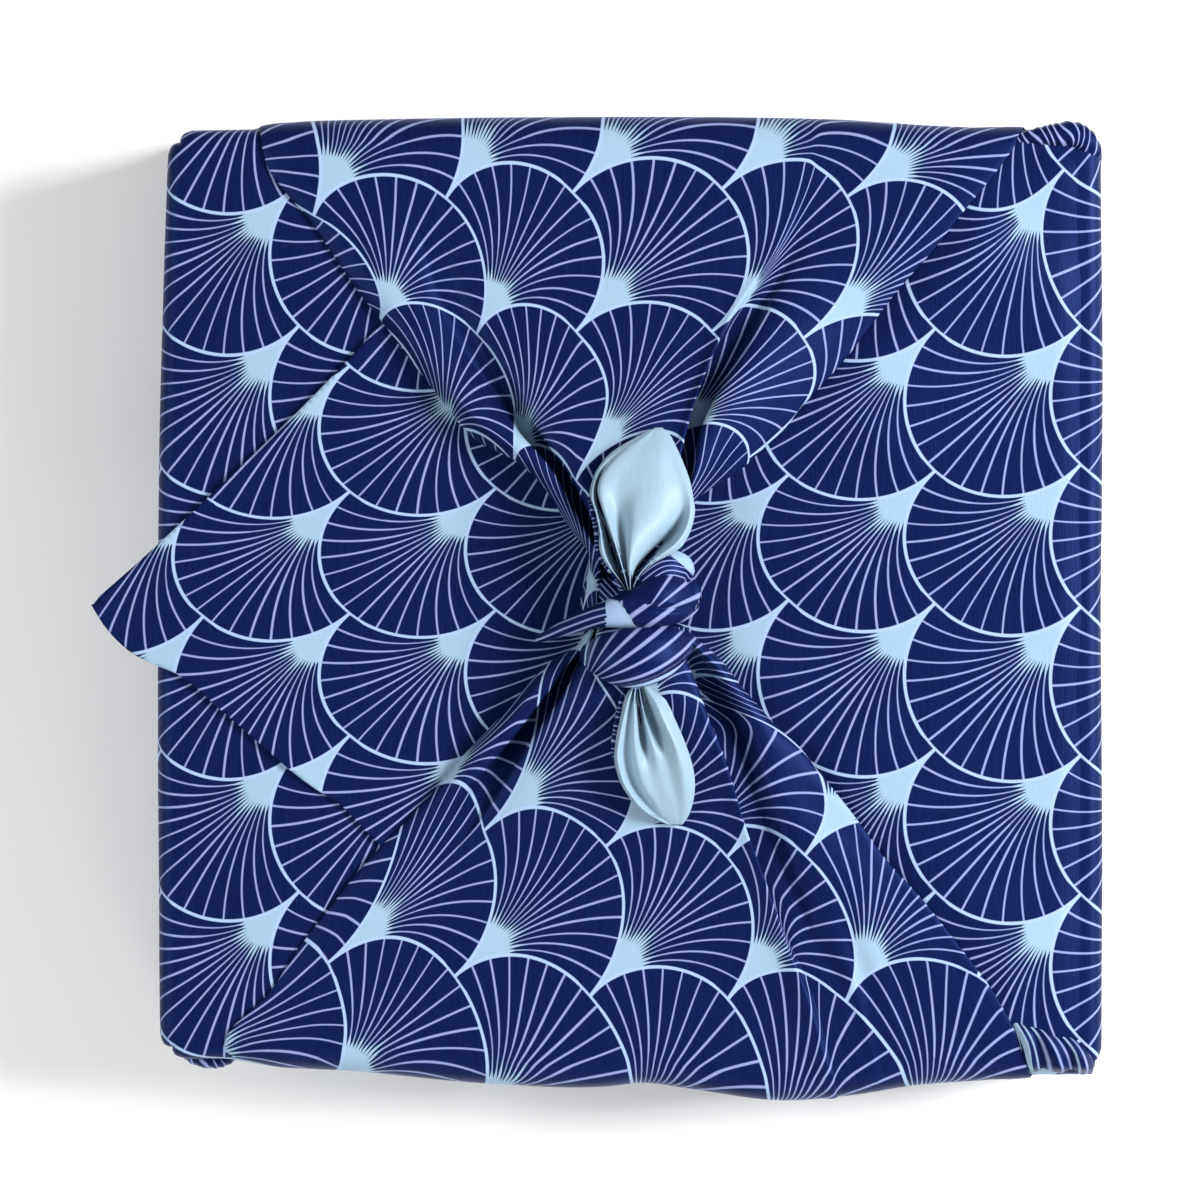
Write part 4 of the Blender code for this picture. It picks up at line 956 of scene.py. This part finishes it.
# Its right end turns over and shows a pale foot, beyond a line that leans to the left.
beyond = 0.64 * (root_placed[:, 0] - 13.0) + 0.77 * (root_placed[:, 1] - 10.5)
root_print = on_fan(1.3 - 1.05 * smooth((beyond - 0.4) / 1.2), 0.06 + 0.075 * root_across)
back_root = cloth_piece("back_ear_root", root_grid, root_placed, root_print, thickness=THIN)

# Rolled hems at each ear's left edge, where the printed side shows in short dashes.
RIB_TURN = 0.105   # a rib a dash or pleat: a little over RIB_STEP, in radians
BACK_HEM = strand(
    (-3.4, 5, 75, 1.2, 1.6), (-9.2, 13, 76, 1.4, 1.8), (-10.1, 20, 75.4, 1.5, 1.8),
    (-11.3, 26, 74, 1.4, 1.8), (-12.1, 30, 72.6, 0.8, 1.2))
FRONT_HEM = strand(
    (-2.4, -27.5, 71.6, 1.2, 1.6), (-3.4, -32, 71.6, 1.6, 1.8), (-4.3, -37, 71, 1.8, 1.8),
    (-5, -42, 70, 1.6, 1.8), (-5, -46.5, 68.6, 0.8, 1.2))
for name, strands, seed in (("back_ear_hem", BACK_HEM, 4.0), ("front_ear_hem", FRONT_HEM, 5.0)):
    hem_grid = unit_grid(16, 60, turned=True)
    placed, run, across = wind(strands, points_of(hem_grid), seed, 0.02)
    dash = run / 1.7 + 0.3 * np.sin(run + seed)   # counts the dashes along the hem
    hem_print = on_fan(1.15 + 0.02 * across, np.tan(RIB_TURN * dash))
    hem = cloth_piece(name, hem_grid, placed, hem_print, thickness=0.3)

# ------------------------------
# Corner tucks: the spare cloth at each corner of the parcel, pushed in under the folds in small
# pleats. Three are tight rolls just under the top's edge, and the front right one lies on top.

BACK_RIGHT_TUCK = strand(
    (105, 134.4, 45, 2, 3), (113, 136, 49, 3.2, 4.4), (119, 136.9, 50.6, 4.8, 5.8),
    (125.5, 137.6, 51.4, 6.6, 7.2), (131.6, 137.5, 51, 7.6, 7.6), (136.1, 134, 49, 6.4, 7),
    (137.6, 127, 43.5, 4.5, 6))
FRONT_LEFT_TUCK = strand(
    (-134, -127, 36, 3, 4), (-133.6, -131.6, 39, 3.4, 4.4), (-130.6, -135.4, 41.4, 4.4, 5.6),
    (-126, -136.8, 41.8, 4.8, 5.6), (-121, -136.6, 41, 4.4, 5), (-115, -133, 37, 3, 4))
BACK_LEFT_TUCK = strand(
    (-133, 124, 37, 3, 4), (-132, 129.5, 41, 4, 5), (-128.5, 133.6, 43.6, 5, 6), (-123.5, 136, 43.8, 5, 6),
    (-118, 136.4, 41.6, 4, 5), (-112, 134, 38, 3, 4))

for name, strands, pitch, seed, area in (("back_right_tuck", BACK_RIGHT_TUCK, 2.3, 1.0, 0.0008),
                                         ("front_left_tuck", FRONT_LEFT_TUCK, 2.6, 2.0, 0.0005),
                                         ("back_left_tuck", BACK_LEFT_TUCK, 2.6, 3.0, 0.00055)):
    roll_grid = unit_grid(40, 120, turned=True)
    roll_flat = points_of(roll_grid)
    placed, run, across = wind(strands, roll_flat, seed, 0.02)
    at = roll_flat[:, 1] * strands[-1].at
    middle = np.stack([follow(strands, axis, at) for axis in "xyz"], axis=1)
    beat = run / pitch + 0.3 * np.sin(run * 0.7 + seed) + 0.22 * across   # counts the pleats
    pleats = 1.0 + 0.06 * np.sin(2.0 * math.pi * beat)
    placed = middle + (placed - middle) * pleats[:, None]
    roll_print = on_fan(1.15 + 0.02 * across, np.tan(RIB_TURN * beat))
    roll = cloth_piece(name, roll_grid, placed, roll_print)

TUCK_Y = (124, 127, 130, 133, 136, 139, 141)
FRONT_RIGHT_TUCK = [
    fold(TUCK_Y, (112, 113.4, 114.6, 115.4, 116, 117, 118), (0.4, 1.4, 1.8, 1.6, 0.6, -2, -9)),
    fold(TUCK_Y, (113.6, 115.4, 117, 118, 118.6, 119.4, 120.2), (0.2, 3, 4, 4, 3, 0, -8)),
    fold(TUCK_Y, (115.4, 118, 119.6, 120.6, 121.4, 122, 122.6), (-0.8, 1.8, 2, 1.6, 0.6, -2, -8)),
    fold(TUCK_Y, (117, 120.8, 123.2, 124.8, 126, 127, 127.6), (-1.5, 1.6, 4, 4.2, 3.4, 0.8, -7)),
    fold(TUCK_Y, (119, 123.6, 126.6, 128.6, 129.8, 130.6, 131.2), (-1.5, -0.8, 1.4, 2, 1, -1.6, -8)),
    fold(TUCK_Y, (121, 126.4, 129.8, 132, 133.2, 134, 134.4), (-1.5, -1.5, 1.4, 3.2, 3, 0.4, -7)),
    fold(TUCK_Y, (123, 128.6, 132.4, 135, 136.6, 137.2, 137.4), (-1.6, -1.6, -1.2, -0.4, -0.8, -3, -9)),
]
tuck_grid = unit_grid(EAR_ACROSS, EAR_ALONG, turned=True)
tuck_flat = points_of(tuck_grid)
tuck_placed, _ = open_ear(FRONT_RIGHT_TUCK, -1.0, [3, 3, 3, 3, 3, 3], 41, tuck_flat)
tuck_print = on_fan(0.60 + 0.34 * tuck_flat[:, 0] + 0.1 * tuck_flat[:, 1], 0.75 - 0.9 * tuck_flat[:, 0])
front_right_tuck = cloth_piece("front_right_tuck", tuck_grid, tuck_placed, tuck_print)

# ------------------------------
# Studio: a plain pale floor, a strong soft panel at the right and weaker ones at the left and the
# front, seen from straight above.

FLOOR_HALF = 3.0         # in metres, as are the lights' and the camera's places
AIM = (0.0, 0.0, 0.05)   # the middle of the wrap

floor_form = bmesh.new()
bmesh.ops.create_grid(floor_form, x_segments=1, y_segments=1, size=FLOOR_HALF)
floor_mesh = bpy.data.meshes.new("floor")
floor_form.to_mesh(floor_mesh)
floor_form.free()
floor = bpy.data.objects.new("floor", floor_mesh)
bpy.context.scene.collection.objects.link(floor)
paper, tree = material("matt_white_paper")
tree.nodes["Principled BSDF"].inputs["Base Color"].default_value = linear("#f4f4f3")
tree.nodes["Principled BSDF"].inputs["Roughness"].default_value = 0.9
floor_mesh.materials.append(paper)


def panel(name, place, size, power):
    """A square soft light that faces the wrap."""
    light = bpy.data.lights.new(name, "AREA")
    light.shape = "SQUARE"
    light.size = size
    light.energy = power
    made = bpy.data.objects.new(name, light)
    made.location = place
    made.rotation_euler = (Vector(AIM) - Vector(place)).to_track_quat("-Z", "Y").to_euler()
    bpy.context.scene.collection.objects.link(made)


panel("right_panel", (1.22, 0.24, 0.95), 0.55, 44.5)
panel("left_panel", (-1.15, -0.1, 1.0), 0.8, 13.5)
panel("front_panel", (0.1, -1.2, 0.8), 0.9, 7.0)

scene = bpy.context.scene
scene.world = scene.world or bpy.data.worlds.new("studio")
scene.world.use_nodes = True
background = scene.world.node_tree.nodes["Background"]
background.inputs["Color"].default_value = (1.0, 1.0, 1.0, 1.0)
background.inputs["Strength"].default_value = 0.2
scene.view_settings.view_transform = "Standard"

lens = bpy.data.cameras.new("camera")
lens.lens = 150.0
lens.clip_end = 20.0
camera = bpy.data.objects.new("camera", lens)
camera.location = (-0.009, 0.0, 1.53)
scene.collection.objects.link(camera)
scene.camera = camera
